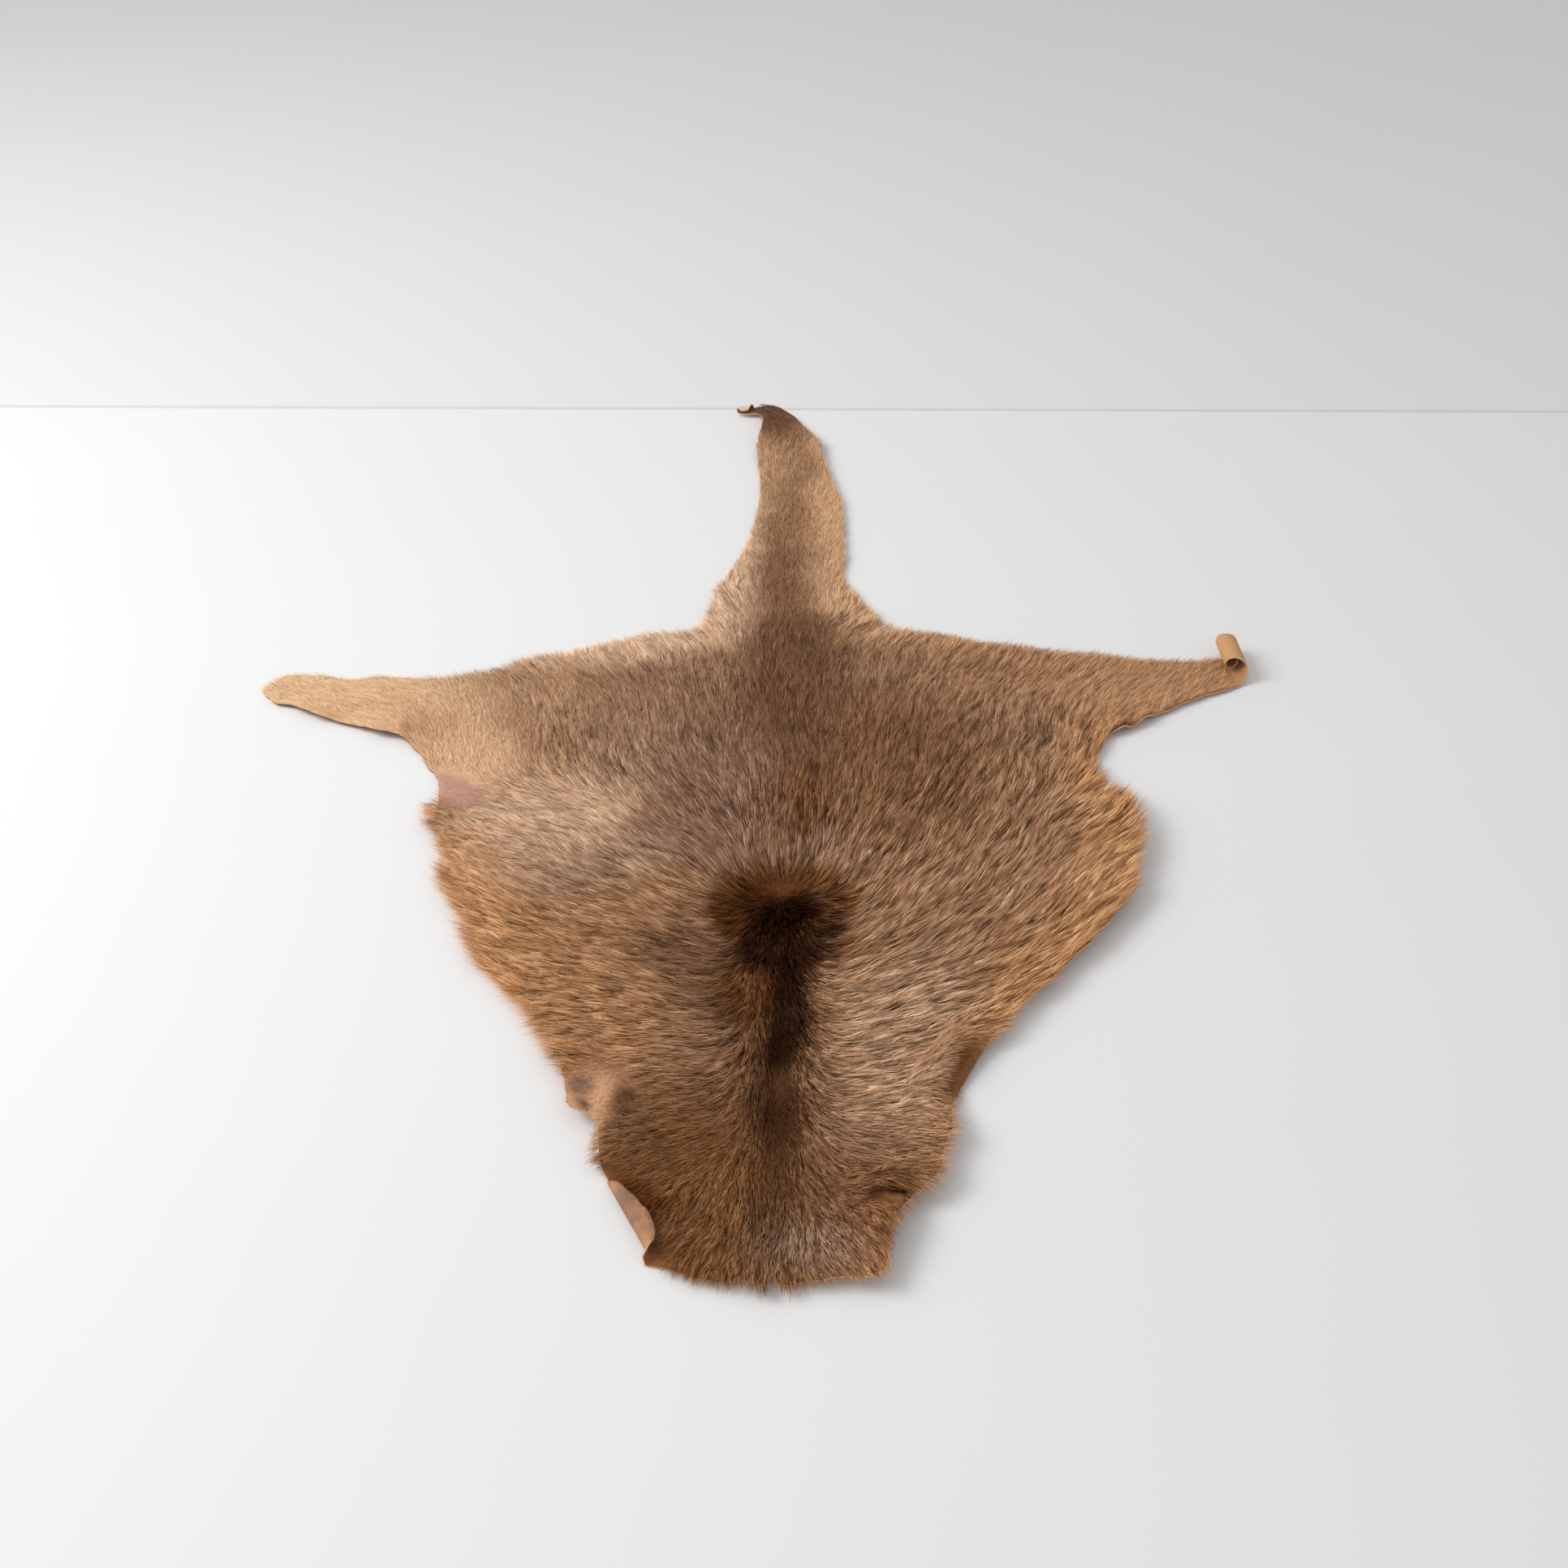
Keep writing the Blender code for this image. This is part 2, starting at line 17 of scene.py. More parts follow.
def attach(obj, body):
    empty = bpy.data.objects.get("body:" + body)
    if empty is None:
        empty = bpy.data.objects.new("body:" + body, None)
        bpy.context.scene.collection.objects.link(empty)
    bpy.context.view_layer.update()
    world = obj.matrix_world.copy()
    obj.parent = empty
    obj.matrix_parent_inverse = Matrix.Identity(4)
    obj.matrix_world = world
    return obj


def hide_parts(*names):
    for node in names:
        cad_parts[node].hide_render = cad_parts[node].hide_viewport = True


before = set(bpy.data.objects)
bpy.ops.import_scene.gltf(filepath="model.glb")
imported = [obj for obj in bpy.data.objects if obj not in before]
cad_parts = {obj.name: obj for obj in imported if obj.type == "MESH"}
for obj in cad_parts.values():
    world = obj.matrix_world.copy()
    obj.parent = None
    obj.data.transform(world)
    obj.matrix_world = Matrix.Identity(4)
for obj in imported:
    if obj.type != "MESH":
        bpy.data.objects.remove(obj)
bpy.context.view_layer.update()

# %% [markdown]
# The photograph looks down at the rug by 36.5 degrees from just in front of its neck. A lens of 43 mm on a
# 36 mm sensor has the same view.

# %% Camera
CAMERA_PLACE = (0.0285, -1.5162, 1.04)
CAMERA_DROP = 36.5
LENS, SENSOR = 43.0, 36.0


def add_object(name, data, place=(0, 0, 0), turn=(0, 0, 0)):
    """A new object in the scene, placed and turned."""
    made = bpy.data.objects.new(name, data)
    made.location, made.rotation_euler = place, turn
    bpy.context.collection.objects.link(made)
    return made


lens = bpy.data.cameras.new("camera")
lens.lens, lens.sensor_width = LENS, SENSOR
camera = add_object("camera", lens, CAMERA_PLACE, (math.radians(90 - CAMERA_DROP), 0, 0))
bpy.context.scene.camera = camera
print("camera", CAMERA_PLACE, "looks down", CAMERA_DROP)

# %% [markdown]
# The cut of the skin is the same as in the CAD part, so the rows below are the part's own. Each gives
# places on the edge, how far the edge is lifted off the floor there, and how shaggy it is, from 0 to 1.
# They show the cut before one leg was rolled up, the tail's tip curled over and the left edge of the neck
# turned back.

# %% The tables' columns
Across = namedtuple("Across", "y left left_lift right right_lift shag")
Along = namedtuple("Along", "x back back_lift front front_lift shag")
Spot = namedtuple("Spot", "x y lift shag")
Curl = namedtuple("Curl", "name x y heading reach fade radius turn pitch pile")
Fold = namedtuple("Fold", "name x y heading length width height")


def table(kind, rows):
    """Plain rows with their columns named."""
    return [kind(*row) for row in rows]


print("a row across the skin has", Across._fields)

# %% The rows of the neck and the belly
# The neck's front edge, from the left corner to the right one, with the notch over the nape
NECK_FRONT = table(Spot, [
    (-0.062, -0.684, 0, 0.2),
    (-0.05, -0.692, 0, 0.8),
    (-0.03, -0.7, 0, 0.9),
    (-0.006, -0.701, 0, 0.9),
    (0.01, -0.699, 0.002, 0),
    (0.015, -0.691, 0.004, 0),
    (0.02, -0.7, 0.002, 0),
    (0.042, -0.7, 0, 0.7),
    (0.064, -0.699, 0.006, 0.7),
    (0.087, -0.698, 0.01, 0.5),
    (0.096, -0.687, 0.011, 0.3),
])

# Neck and belly, from front to back. The left edge is the cut before it was turned back at the neck
BODY = table(Across, [
    (-0.674, -0.09, 0, 0.095, 0.012, 0),
    (-0.662, -0.1015, 0, 0.097, 0.012, 0),
    (-0.648, -0.1072, 0, 0.101, 0.012, 0),
    (-0.632, -0.111, 0, 0.111, 0.012, 0),
    (-0.618, -0.111, 0, 0.123, 0.01, 0),
    (-0.605, -0.106, 0, 0.135, 0.01, 0),
    (-0.584, -0.116, 0.002, 0.143, 0.01, 0.5),
    (-0.572, -0.116, 0.004, 0.147, 0.01, 0.4),
    (-0.558, -0.116, 0.007, 0.149, 0.01, 0.1),
    (-0.55, -0.122, 0.011, 0.15, 0.008, 0),
    (-0.543, -0.137, 0.014, 0.15, 0.006, 0),
    (-0.53, -0.141, 0.012, 0.151, 0.004, 0),
    (-0.508, -0.146, 0.008, 0.161, 0.002, 0),
    (-0.48, -0.157, 0.004, 0.18, 0.006, 0.6),
    (-0.455, -0.171, 0.002, 0.197, 0.008, 1),
    (-0.43, -0.187, 0.002, 0.217, 0.008, 1),
    (-0.405, -0.209, 0.002, 0.24, 0.008, 1),
    (-0.38, -0.228, 0.002, 0.262, 0.01, 1),
    (-0.35, -0.243, 0.003, 0.288, 0.012, 1),
    (-0.32, -0.252, 0.003, 0.309, 0.01, 1),
    (-0.29, -0.268, 0.002, 0.325, 0.01, 1),
    (-0.26, -0.279, 0.002, 0.331, 0.008, 1),
    (-0.23, -0.282, 0.003, 0.34, 0.01, 1),
    (-0.2, -0.294, 0.004, 0.345, 0.012, 1),
    (-0.176, -0.301, 0.004, 0.342, 0.012, 0.8),
])
print(len(NECK_FRONT) + len(BODY), "rows for the neck and the belly")

# %% The rows of the right hind leg
RIGHT_ARMPIT = table(Spot, [
    (0.339, -0.157, 0.008, 0.6),
    (0.325, -0.143, 0.004, 0.2),
    (0.314, -0.128, 0.002, 0),
    (0.314, -0.108, 0, 0),
    (0.319, -0.082, 0, 0),
    (0.327, -0.064, 0.002, 0),
])

# From the thigh outwards, with the end that is rolled up
RIGHT_LEG = table(Along, [
    (0.34, 0.103, 0, -0.045, 0.002, 0.3),
    (0.349, 0.101, 0, -0.041, 0.005, 0.2),
    (0.362, 0.097, 0, -0.031, 0.002, 0.1),
    (0.373, 0.094, 0, -0.024, 0.005, 0.1),
    (0.386, 0.091, 0, -0.014, 0.003, 0.1),
    (0.405, 0.088, 0, 0.001, 0.003, 0),
    (0.43, 0.088, 0, 0.018, 0.003, 0),
    (0.455, 0.09, 0, 0.03, 0.002, 0),
    (0.476, 0.096, 0, 0.042, 0, 0),
    (0.5, 0.106, 0, 0.057, 0, 0),
    (0.52, 0.11, 0, 0.065, 0, 0),
    (0.54, 0.113, 0, 0.071, 0, 0),
    (0.558, 0.112, 0, 0.079, 0, 0),
])
RIGHT_TIP = table(Spot, [(0.566, 0.096, 0, 0)])

RIGHT_RUMP = table(Spot, [
    (0.3, 0.106, 0, 0.5),
    (0.268, 0.116, 0, 0.5),
    (0.227, 0.125, 0, 0.6),
    (0.19, 0.14, 0, 0.6),
    (0.158, 0.145, 0, 0.6),
    (0.136, 0.146, 0, 0.4),
    (0.121, 0.162, 0, 0.4),
])
print(len(RIGHT_ARMPIT + RIGHT_LEG + RIGHT_TIP + RIGHT_RUMP), "rows for the right hind leg")

# %% The rows of the tail
# From its root to where it bends to the left
TAIL = table(Across, [
    (0.184, -0.056, 0, 0.114, 0, 0.3),
    (0.212, -0.053, 0, 0.104, 0, 0.3),
    (0.236, -0.049, 0, 0.094, 0, 0.3),
    (0.265, -0.038, 0, 0.089, 0, 0.2),
    (0.3, -0.028, 0, 0.092, 0.003, 0.2),
    (0.335, -0.018, 0, 0.091, 0.003, 0.2),
    (0.375, -0.012, 0.002, 0.092, 0.003, 0.2),
    (0.415, -0.008, 0.002, 0.091, 0.003, 0.2),
    (0.46, -0.006, 0.002, 0.086, 0.003, 0.2),
    (0.505, -0.008, 0.002, 0.077, 0.004, 0.2),
    (0.545, -0.011, 0.004, 0.071, 0.006, 0.2),
    (0.577, -0.01, 0.006, 0.068, 0.006, 0),
    (0.605, -0.006, 0.01, 0.056, 0.006, 0),
    (0.632, -0.003, 0.012, 0.046, 0.004, 0),
])
TAIL_TIP = table(Spot, [
    (0.037, 0.655, 0.003, 0),
    (0.026, 0.676, 0, 0),
    (0.013, 0.692, 0, 0),
    (0.002, 0.693, 0, 0),
    (-0.008, 0.687, 0, 0),
    (-0.015, 0.684, 0, 0),
    (-0.021, 0.691, 0, 0),
    (-0.031, 0.693, 0, 0),
    (-0.037, 0.684, 0, 0),
    (-0.034, 0.668, 0, 0),
    (-0.024, 0.662, 0, 0),
    (-0.013, 0.661, 0.005, 0),
    (-0.005, 0.649, 0.008, 0),
])
print(len(TAIL + TAIL_TIP), "rows for the tail")

# %% The rows of the left hind leg
LEFT_RUMP = table(Spot, [
    (-0.068, 0.15, 0, 0.4),
    (-0.092, 0.14, 0, 0.5),
    (-0.124, 0.139, 0, 0.6),
    (-0.171, 0.116, 0, 0.6),
    (-0.203, 0.103, 0, 0.6),
    (-0.244, 0.09, 0, 0.6),
    (-0.264, 0.073, 0, 0.6),
    (-0.3, 0.064, 0, 0.5),
])

# From its tip inwards
LEFT_LEG = table(Along, [
    (-0.484, 0.06, 0, 0.016, 0, 0.1),
    (-0.474, 0.064, 0, 0.009, 0.002, 0.1),
    (-0.46, 0.065, 0, 0.003, 0.004, 0.1),
    (-0.437, 0.062, 0, -0.012, 0.007, 0),
    (-0.412, 0.055, 0, -0.022, 0.003, 0),
    (-0.39, 0.061, 0, -0.031, 0.004, 0),
    (-0.366, 0.06, 0, -0.044, 0.008, 0.1),
    (-0.348, 0.059, 0, -0.049, 0.004, 0.1),
    (-0.326, 0.06, 0, -0.073, 0, 0.2),
])
LEFT_TIP = table(Spot, [(-0.4986, 0.037, 0, 0.2)])

LEFT_ARMPIT = table(Spot, [
    (-0.315, -0.09, 0, 0),
    (-0.306, -0.105, 0, 0),
    (-0.299, -0.121, 0.002, 0),
    (-0.295, -0.142, 0.004, 0),
    (-0.298, -0.158, 0.004, 0.6),
])
print(len(LEFT_RUMP + LEFT_LEG + LEFT_TIP + LEFT_ARMPIT), "rows for the left hind leg")

# %% [markdown]
# Skin that has been stored folded doesn't lie quite flat. The end of one leg has rolled up, the tail's tip
# and one edge of the neck have turned over, and soft ridges cross it. Each is a row as well.

# %% The rows of the curls, folds and partings
# Each curl starts on a line across its heading, in degrees
CURLS = table(Curl, [
    ("leg scroll", 0.4765, 0.074, 2, 0.1, 0.01, 0.0136, 540, 0.0058, 0.0026),
    ("tail tip", -0.03, 0.672, 94, 0.014, 0.006, 0.0046, 205, 0, 0.0022),
    ("turned edge", -0.0838, -0.6379, 207, 0.042, 0.012, 0.0058, 186, 0, 0.0026),
])

# Soft ridges in the skin, each along its heading in degrees
FOLDS = table(Fold, [
    ("left lip", -0.107, -0.531, 88, 0.044, 0.016, 0.012),
    ("right crest", 0.15, -0.484, 55, 0.072, 0.022, 0.014),
    ("neck corner", 0.086, -0.634, 80, 0.058, 0.03, 0.008),
    ("slit ridge", 0.1, -0.613, 8, 0.044, 0.013, 0.008),
    ("leg crease", -0.345, -0.043, -70, 0.03, 0.01, 0.004),
    ("first edge arch", 0.35, -0.038, 62, 0.026, 0.01, 0.004),
    ("second edge arch", 0.375, -0.021, 62, 0.026, 0.01, 0.004),
    ("armpit crease", -0.268, -0.14, -8, 0.06, 0.016, 0.005),
    ("right flank", 0.3, -0.27, 60, 0.11, 0.05, 0.006),
    ("right thigh", 0.21, 0.02, 70, 0.07, 0.04, 0.004),
    ("left thigh", -0.18, 0.03, 110, 0.08, 0.04, 0.004),
    ("tail root", 0.03, 0.17, 0, 0.07, 0.034, 0.004),
])

# Where the pile is parted or flattened: the height is how far its top sinks
PARTINGS = table(Fold, [
    ("neck slit", 0.098, -0.626, 8, 0.028, 0.009, 0.0085),
    ("nape", 0.019, -0.5, 90, 0.2, 0.016, 0.003),
    ("lip valley", -0.091, -0.508, -63, 0.036, 0.018, 0.0075),
    ("bare patch", -0.285, -0.118, -40, 0.036, 0.03, 0.008),
    ("whorl", 0.022, -0.271, 0, 0.026, 0.026, 0.003),
])

print(len(CURLS), "curls,", len(FOLDS), "folds,", len(PARTINGS), "partings")

# %% [markdown]
# The shape functions are the part's own too. First comes the edge: a closed spline through all the rows,
# with points an even step apart. A coarser copy of it carries how far the edge is lifted.

# %% The edge
SPLINE_PARTS = 12
FINE_STEP, LIFT_STEP = 0.0020, 0.00475


def side(rows, name):
    """One side of the rows as spots: left or right of rows across, back or front of rows along."""
    if name in ("left", "right"):
        return [(getattr(r, name), r.y, getattr(r, f"{name}_lift"), r.shag) for r in rows]
    return [(r.x, getattr(r, name), getattr(r, f"{name}_lift"), r.shag) for r in rows]


def edge_rows():
    """The edge's own spots, anticlockwise from the neck's left corner."""
    rows = NECK_FRONT + side(BODY, "right")
    rows += RIGHT_ARMPIT + side(RIGHT_LEG, "front") + RIGHT_TIP + side(RIGHT_LEG[::-1], "back") + RIGHT_RUMP
    rows += side(TAIL, "right") + TAIL_TIP + side(TAIL[::-1], "left")
    rows += LEFT_RUMP + side(LEFT_LEG[::-1], "back") + LEFT_TIP + side(LEFT_LEG, "front") + LEFT_ARMPIT
    return np.array(rows + side(BODY[::-1], "left"))


def splined(rows, parts):
    """A closed Catmull-Rom curve through the rows, cut into the given number of parts between each two."""
    before, after, second = np.roll(rows, 1, 0), np.roll(rows, -1, 0), np.roll(rows, -2, 0)
    pieces = []
    for t in np.arange(parts) / parts:
        curve = 2 * rows + (after - before) * t
        curve += (2 * before - 5 * rows + 4 * after - second) * t**2
        curve += (3 * rows - before - 3 * after + second) * t**3
        pieces.append(curve / 2)
    return np.stack(pieces, 1).reshape(-1, rows.shape[1])


def evenly(rows, step):
    """The closed curve again, with points an even step apart."""
    closed = np.vstack([rows, rows[:1]])
    lengths = np.hypot(*np.diff(closed[:, :2], axis=0).T)
    run = np.concatenate([[0.0], np.cumsum(lengths)])
    wanted = np.linspace(0.0, run[-1], round(run[-1] / step), endpoint=False)
    return np.stack([np.interp(wanted, run, closed[:, k]) for k in range(rows.shape[1])], 1)


edge = evenly(splined(edge_rows(), SPLINE_PARTS), FINE_STEP)
lift_line = evenly(edge, LIFT_STEP)
print("the edge has", len(edge), "points")

# %% Points inside the edge
TINY = 1e-9


def is_inside(points, line):
    """Which points the closed line goes round, by counting the crossings of a ray along +X."""
    ahead = np.roll(line, -1, axis=0)
    x, y = points[:, 0, None], points[:, 1, None]
    crosses = (line[None, :, 1] > y) != (ahead[None, :, 1] > y)
    rise = ahead[:, 1] - line[:, 1]
    rise = np.where(np.abs(rise) < TINY, TINY, rise)
    meet = line[:, 0] + (y - line[:, 1]) * (ahead[:, 0] - line[:, 0]) / rise
    return (crosses & (x < meet)).sum(axis=1) % 2 == 1


def grid(low, high, step):
    """Points in staggered rows over a box."""
    rows = []
    for j, y in enumerate(np.arange(low[1], high[1], step * math.sqrt(0.75))):
        xs = np.arange(low[0] + (j % 2) * step / 2, high[0], step)
        rows.append(np.stack([xs, np.full_like(xs, y)], 1))
    return np.concatenate(rows)


def nearest(points, others):
    """For each point, how far the nearest of the others is."""
    tree = kdtree.KDTree(len(others))
    for i, other in enumerate(others):
        tree.insert((other[0], other[1], 0.0), i)
    tree.balance()
    return np.array([tree.find((point[0], point[1], 0.0))[2] for point in points])


print("the middle of the rug is inside its edge:", bool(is_inside(np.zeros((1, 2)), edge)[0]))

# %% [markdown]
# A lifted edge raises the sheet near it, a fold raises a soft ridge, and a curl rolls up all that lies past
# a line. Each point of a curl keeps its distance along the sheet, so the skin isn't stretched.

# %% Curls and folds
CURL_CUT = 0.120


def smooth(t):
    """0 to 1 with level ends, for t from 0 to 1."""
    t = np.clip(t, 0.0, 1.0)
    return t * t * (3.0 - 2.0 * t)


def seen_from(points, mark):
    """How far each point is ahead of a curl, fold or patch, along its heading, and how far aside."""
    angle = math.radians(mark.heading)
    offset = points[:, :2] - (mark.x, mark.y)
    return offset @ (math.cos(angle), math.sin(angle)), offset @ (-math.sin(angle), math.cos(angle))


def in_curl(points, curl, margin):
    """Which points a curl moves, or nearly does."""
    past, along = seen_from(points, curl)
    return (past > -margin) & (np.abs(along) < curl.reach + margin) & (past < CURL_CUT)


def rolled(past, curl, strength):
    """How far ahead and how high a point of the sheet comes, at a length past the curl's line."""
    turn = math.radians(curl.turn) * strength
    shrink = curl.pitch / (2 * math.pi)
    if shrink:
        root = np.maximum(curl.radius**2 - 2 * shrink * past, TINY)
        angle = (curl.radius - np.sqrt(root)) / shrink
    else:
        angle = past / curl.radius
    angle = np.minimum(angle, turn)
    used = curl.radius * angle - shrink * angle**2 / 2
    left = np.maximum(past - used, 0.0)
    radius = curl.radius - shrink * angle
    ahead = radius * np.sin(angle) + left * np.cos(angle)
    height = curl.radius - radius * np.cos(angle) + left * np.sin(angle)
    return ahead, height


def bump(points, fold):
    """1 on the middle of a fold, falling to 0 at its length and width."""
    along, across = seen_from(points, fold)
    return smooth(1 - np.abs(along) / fold.length) * smooth(1 - np.abs(across) / fold.width)


print("points of the edge in each curl:", {c.name: int(in_curl(edge, c, 0.0).sum()) for c in CURLS})

# %% Where a point of the sheet lies
NOISE_GAIN = 1.6
LIFT_WIDTH, LEAST_LIFT, LIFT_BATCHES = 0.060, 0.0008, 8
CENTRE = np.array((-0.0055, -0.0078))


def waves(points, length, shift=0.0):
    """Soft noise of about -1 to 1 with waves of a length, at places on the flat skin."""
    return NOISE_GAIN * np.array([noise.noise((p[0] / length, p[1] / length, shift)) for p in points])


def laid(points):
    """The flat sheet's points where they lie, lifted, folded and curled, about the rug's middle."""
    height = np.zeros(len(points))
    for part in np.array_split(np.arange(len(points)), LIFT_BATCHES):
        offset = points[part, None, :2] - lift_line[None, :, :2]
        near = np.clip(1 - np.hypot(offset[:, :, 0], offset[:, :, 1]) / LIFT_WIDTH, 0, 1) ** 2
        height[part] = (near * lift_line[None, :, 2]).max(axis=1)
    for fold in FOLDS:
        height += fold.height * bump(points, fold)
    height[height < LEAST_LIFT] = 0.0
    placed = np.column_stack([points[:, :2] - CENTRE, height])
    for curl in CURLS:
        past, along = seen_from(points, curl)
        moved = (past > 0) & in_curl(points, curl, 0.0)
        strength = smooth((curl.reach - np.abs(along)) / curl.fade)
        ahead, rise = rolled(np.maximum(past, 0), curl, strength)
        angle = math.radians(curl.heading)
        step = np.where(moved, ahead - past, 0.0)
        placed[:, 0] += step * math.cos(angle)
        placed[:, 1] += step * math.sin(angle)
        placed[:, 2] += np.where(moved, rise, 0.0)
    return placed


print("the edge lies up to", laid(edge)[:, 2].max().round(4), "above the floor")

# %% [markdown]
# A tanned skin is cut with a knife, a little inside the reach of its fur, and the cut wavers. The flat skin
# is filled with points, close together where it will roll up and wider apart elsewhere, and Blender's
# Delaunay triangulation joins them. Then every point is moved to where the sheet lies.

# %% The flat skin and its triangles
CUT_INSET, CUT_WAVER, WAVER_LENGTH = 0.0065, 0.0012, 0.011
CUT_STEP, TURN_SPAN = 0.0042, 3
OPEN_STEP, CLOSE_STEP = 0.0074, 0.0031
CLOSE_MARGIN = 0.004
ROOM_SHARE = 0.62
MERGE = 1e-7


def filling(step, in_curls):
    """Points inside the cut, either those that a curl moves or those that none does."""
    points = grid(edge.min(axis=0), edge.max(axis=0), step)
    curled = np.any([in_curl(points, curl, CLOSE_MARGIN) for curl in CURLS], axis=0)
    points = points[curled == in_curls]
    return points[is_inside(points, cut)]


turn = np.roll(edge, -TURN_SPAN, 0)[:, :2] - np.roll(edge, TURN_SPAN, 0)[:, :2]
inwards = np.column_stack([-turn[:, 1], turn[:, 0]]) / np.hypot(turn[:, 0], turn[:, 1])[:, None]
inset = CUT_INSET * np.clip(edge[:, 3], 0, 1) + CUT_WAVER * waves(edge, WAVER_LENGTH)
cut = evenly(np.column_stack([edge[:, :2] + inwards * inset[:, None], edge[:, 2:]]), CUT_STEP)

close, wide = filling(CLOSE_STEP, True), filling(OPEN_STEP, False)
room = ROOM_SHARE * np.repeat((CLOSE_STEP, CUT_STEP), (len(close), len(wide)))
inner = np.vstack([close, wide])
inner = inner[nearest(inner, cut) > room]
spots = [Vector(p) for p in np.vstack([cut[:, :2], inner])]
found = geometry.delaunay_2d_cdt(spots, [], [list(range(len(cut)))], 1, MERGE)
flat, triangles = np.array([tuple(p) for p in found[0]]), np.array(found[2])
print(len(flat), "points and", len(triangles), "triangles in the flat skin")

# %% Where the skin lies, and which way its fur side faces
SKIN_RAISE, SKIN_THICKNESS = 0.0004, 0.0013

flesh_side = laid(flat) + (0, 0, SKIN_RAISE)


def facing(points):
    """The unit normal at every point of the skin's triangles."""
    corners = points[triangles]
    face_normals = np.cross(corners[:, 1] - corners[:, 0], corners[:, 2] - corners[:, 0])
    total = np.zeros_like(points)
    for k in range(3):
        np.add.at(total, triangles[:, k], face_normals)
    return total / np.linalg.norm(total, axis=1)[:, None]


normals = facing(flesh_side)
fur_side = flesh_side + SKIN_THICKNESS * normals
cut_size = np.ptp(flat, axis=0)

# %% [markdown]
# Much of a coat is painted on with soft patches: how long the hair is, which way it lies where it leaves
# the pattern, and its tone. Each patch has a place, a heading, half its length and width, and the value
# that holds in its middle.

# %% Soft patches
Patch = namedtuple("Patch", "name x y heading length width value strength")
PATCH_EDGE = 0.55


def patch_share(places, patch):
    """1 in the middle of a patch and 0 outside it, with a soft edge."""
    along, across = seen_from(places, patch)
    return patch.strength * smooth((1 - np.hypot(along / patch.length, across / patch.width)) / PATCH_EDGE)


def patched(places, start, patches):
    """A value for each place, from a start that is the same all over and patches laid on it in turn."""
    values = np.zeros((len(places), np.size(start))) + start
    for patch in patches:
        values += patch_share(places, patch)[:, None] * (np.array(patch.value) - values)
    return values


# %% [markdown]
# Hair grows in a pattern that every animal of a kind shares. Here it parts at a whorl between the
# shoulders. In front of it the hair lies towards the neck, behind it towards the tail, and at the sides it
# sweeps outwards. The pattern is worked out as one angle for each place: a short table gives how far the
# hair on the sides leans back, and the legs and the tail's tip have a heading of their own.

# %% The rows of the hair's pattern
Lean = namedtuple("Lean", "y spine_x left right")
LEANS = table(Lean, [
    (-0.7, 0.021, -80, -76),
    (-0.65, 0.021, -66, -58),
    (-0.6, 0.021, -46, -32),
    (-0.55, 0.021, -26, -12),
    (-0.5, 0.021, -14, 0),
    (-0.42, 0.022, -4, 14),
    (-0.35, 0.024, 8, 29),
    (-0.28, 0.026, 18, 50),
    (-0.2, 0.031, 34, 60),
    (-0.12, 0.037, 54, 66),
    (-0.05, 0.041, 76, 74),
    (0.15, 0.035, 84, 84),
    (0.3, 0.027, 88, 88),
    (0.49, 0.037, 88, 88),
    (0.6, 0.032, 88, 88),
    (0.7, 0, 88, 88),
])
TURNS = table(Patch, [
    ("left of the tail root", -0.072, 0.175, 60, 0.105, 0.07, 132, 0.95),
    ("right of the tail root", 0.125, 0.16, 30, 0.075, 0.065, 48, 0.85),
    ("tail left edge", -0.018, 0.4, 94, 0.23, 0.032, 128, 0.6),
    ("tail right edge", 0.094, 0.4, 88, 0.23, 0.028, 55, 0.6),
    ("left rump edge", -0.16, 0.12, 20, 0.11, 0.04, 122, 0.8),
    ("right rump edge", 0.225, 0.12, -15, 0.11, 0.04, 58, 0.8),
    ("left side", -0.25, -0.18, 20, 0.15, 0.085, 170, 0.85),
    ("right rim", 0.31, -0.2, 90, 0.12, 0.06, 24, 0.8),
    ("right of the neck", 0.148, -0.545, 60, 0.045, 0.03, -40, 0.9),
])
print(len(LEANS), "rows of leans and", len(TURNS), "places where the hair turns")

# %% Directions, and how they mix
WHORL_X, WHORL_Y, WHORL_REACH, WHORL_CORE = 0.028, -0.275, 0.062, 1.15
SLIGHT = 1e-6


def unit(angle):
    """The direction of an angle in radians, as rows of x and y."""
    return np.column_stack([np.cos(angle), np.sin(angle)])


def turned(ways, headings, share):
    """The ways, turned to the headings by a share."""
    mixed = ways + (headings - ways) * share[:, None]
    return mixed / np.maximum(np.hypot(mixed[:, 0], mixed[:, 1]), SLIGHT)[:, None]


def near_whorl(places):
    """1 at the whorl, falling to 0 around it."""
    return smooth(WHORL_CORE - np.hypot(places[:, 0] - WHORL_X, places[:, 1] - WHORL_Y) / WHORL_REACH)


places = flat - CENTRE
print(int((near_whorl(places) > 0).sum()), "points lie at the whorl")

# %% Which way the hair lies
WHORL_BLEND = 0.022
PART_WIDTH, FRONT_PART_WIDTH, PART_EASE = 0.100, 0.066, 0.05
RUMP_FAN, FAN_FROM_X, FAN_EASE_X, FAN_FROM_Y, FAN_EASE_Y = 26.0, 0.08, 0.12, -0.02, 0.08
LEFT_LEG_HEADING, RIGHT_LEG_HEADING, TAIL_TIP_HEADING = 157.0, 46.0, 172.0
LEG_START, LEG_CHANGE, LEG_FRONT, LEG_FRONT_EASE = 0.27, 0.12, -0.10, 0.04
RUMP_END, TAIL_TIP_FROM, TAIL_TIP_EASE = 0.17, 0.59, 0.09
SWAYS = ((0.045, 11.0), (0.016, 9.0), (0.007, 5.0))
TRACE = 0.0006


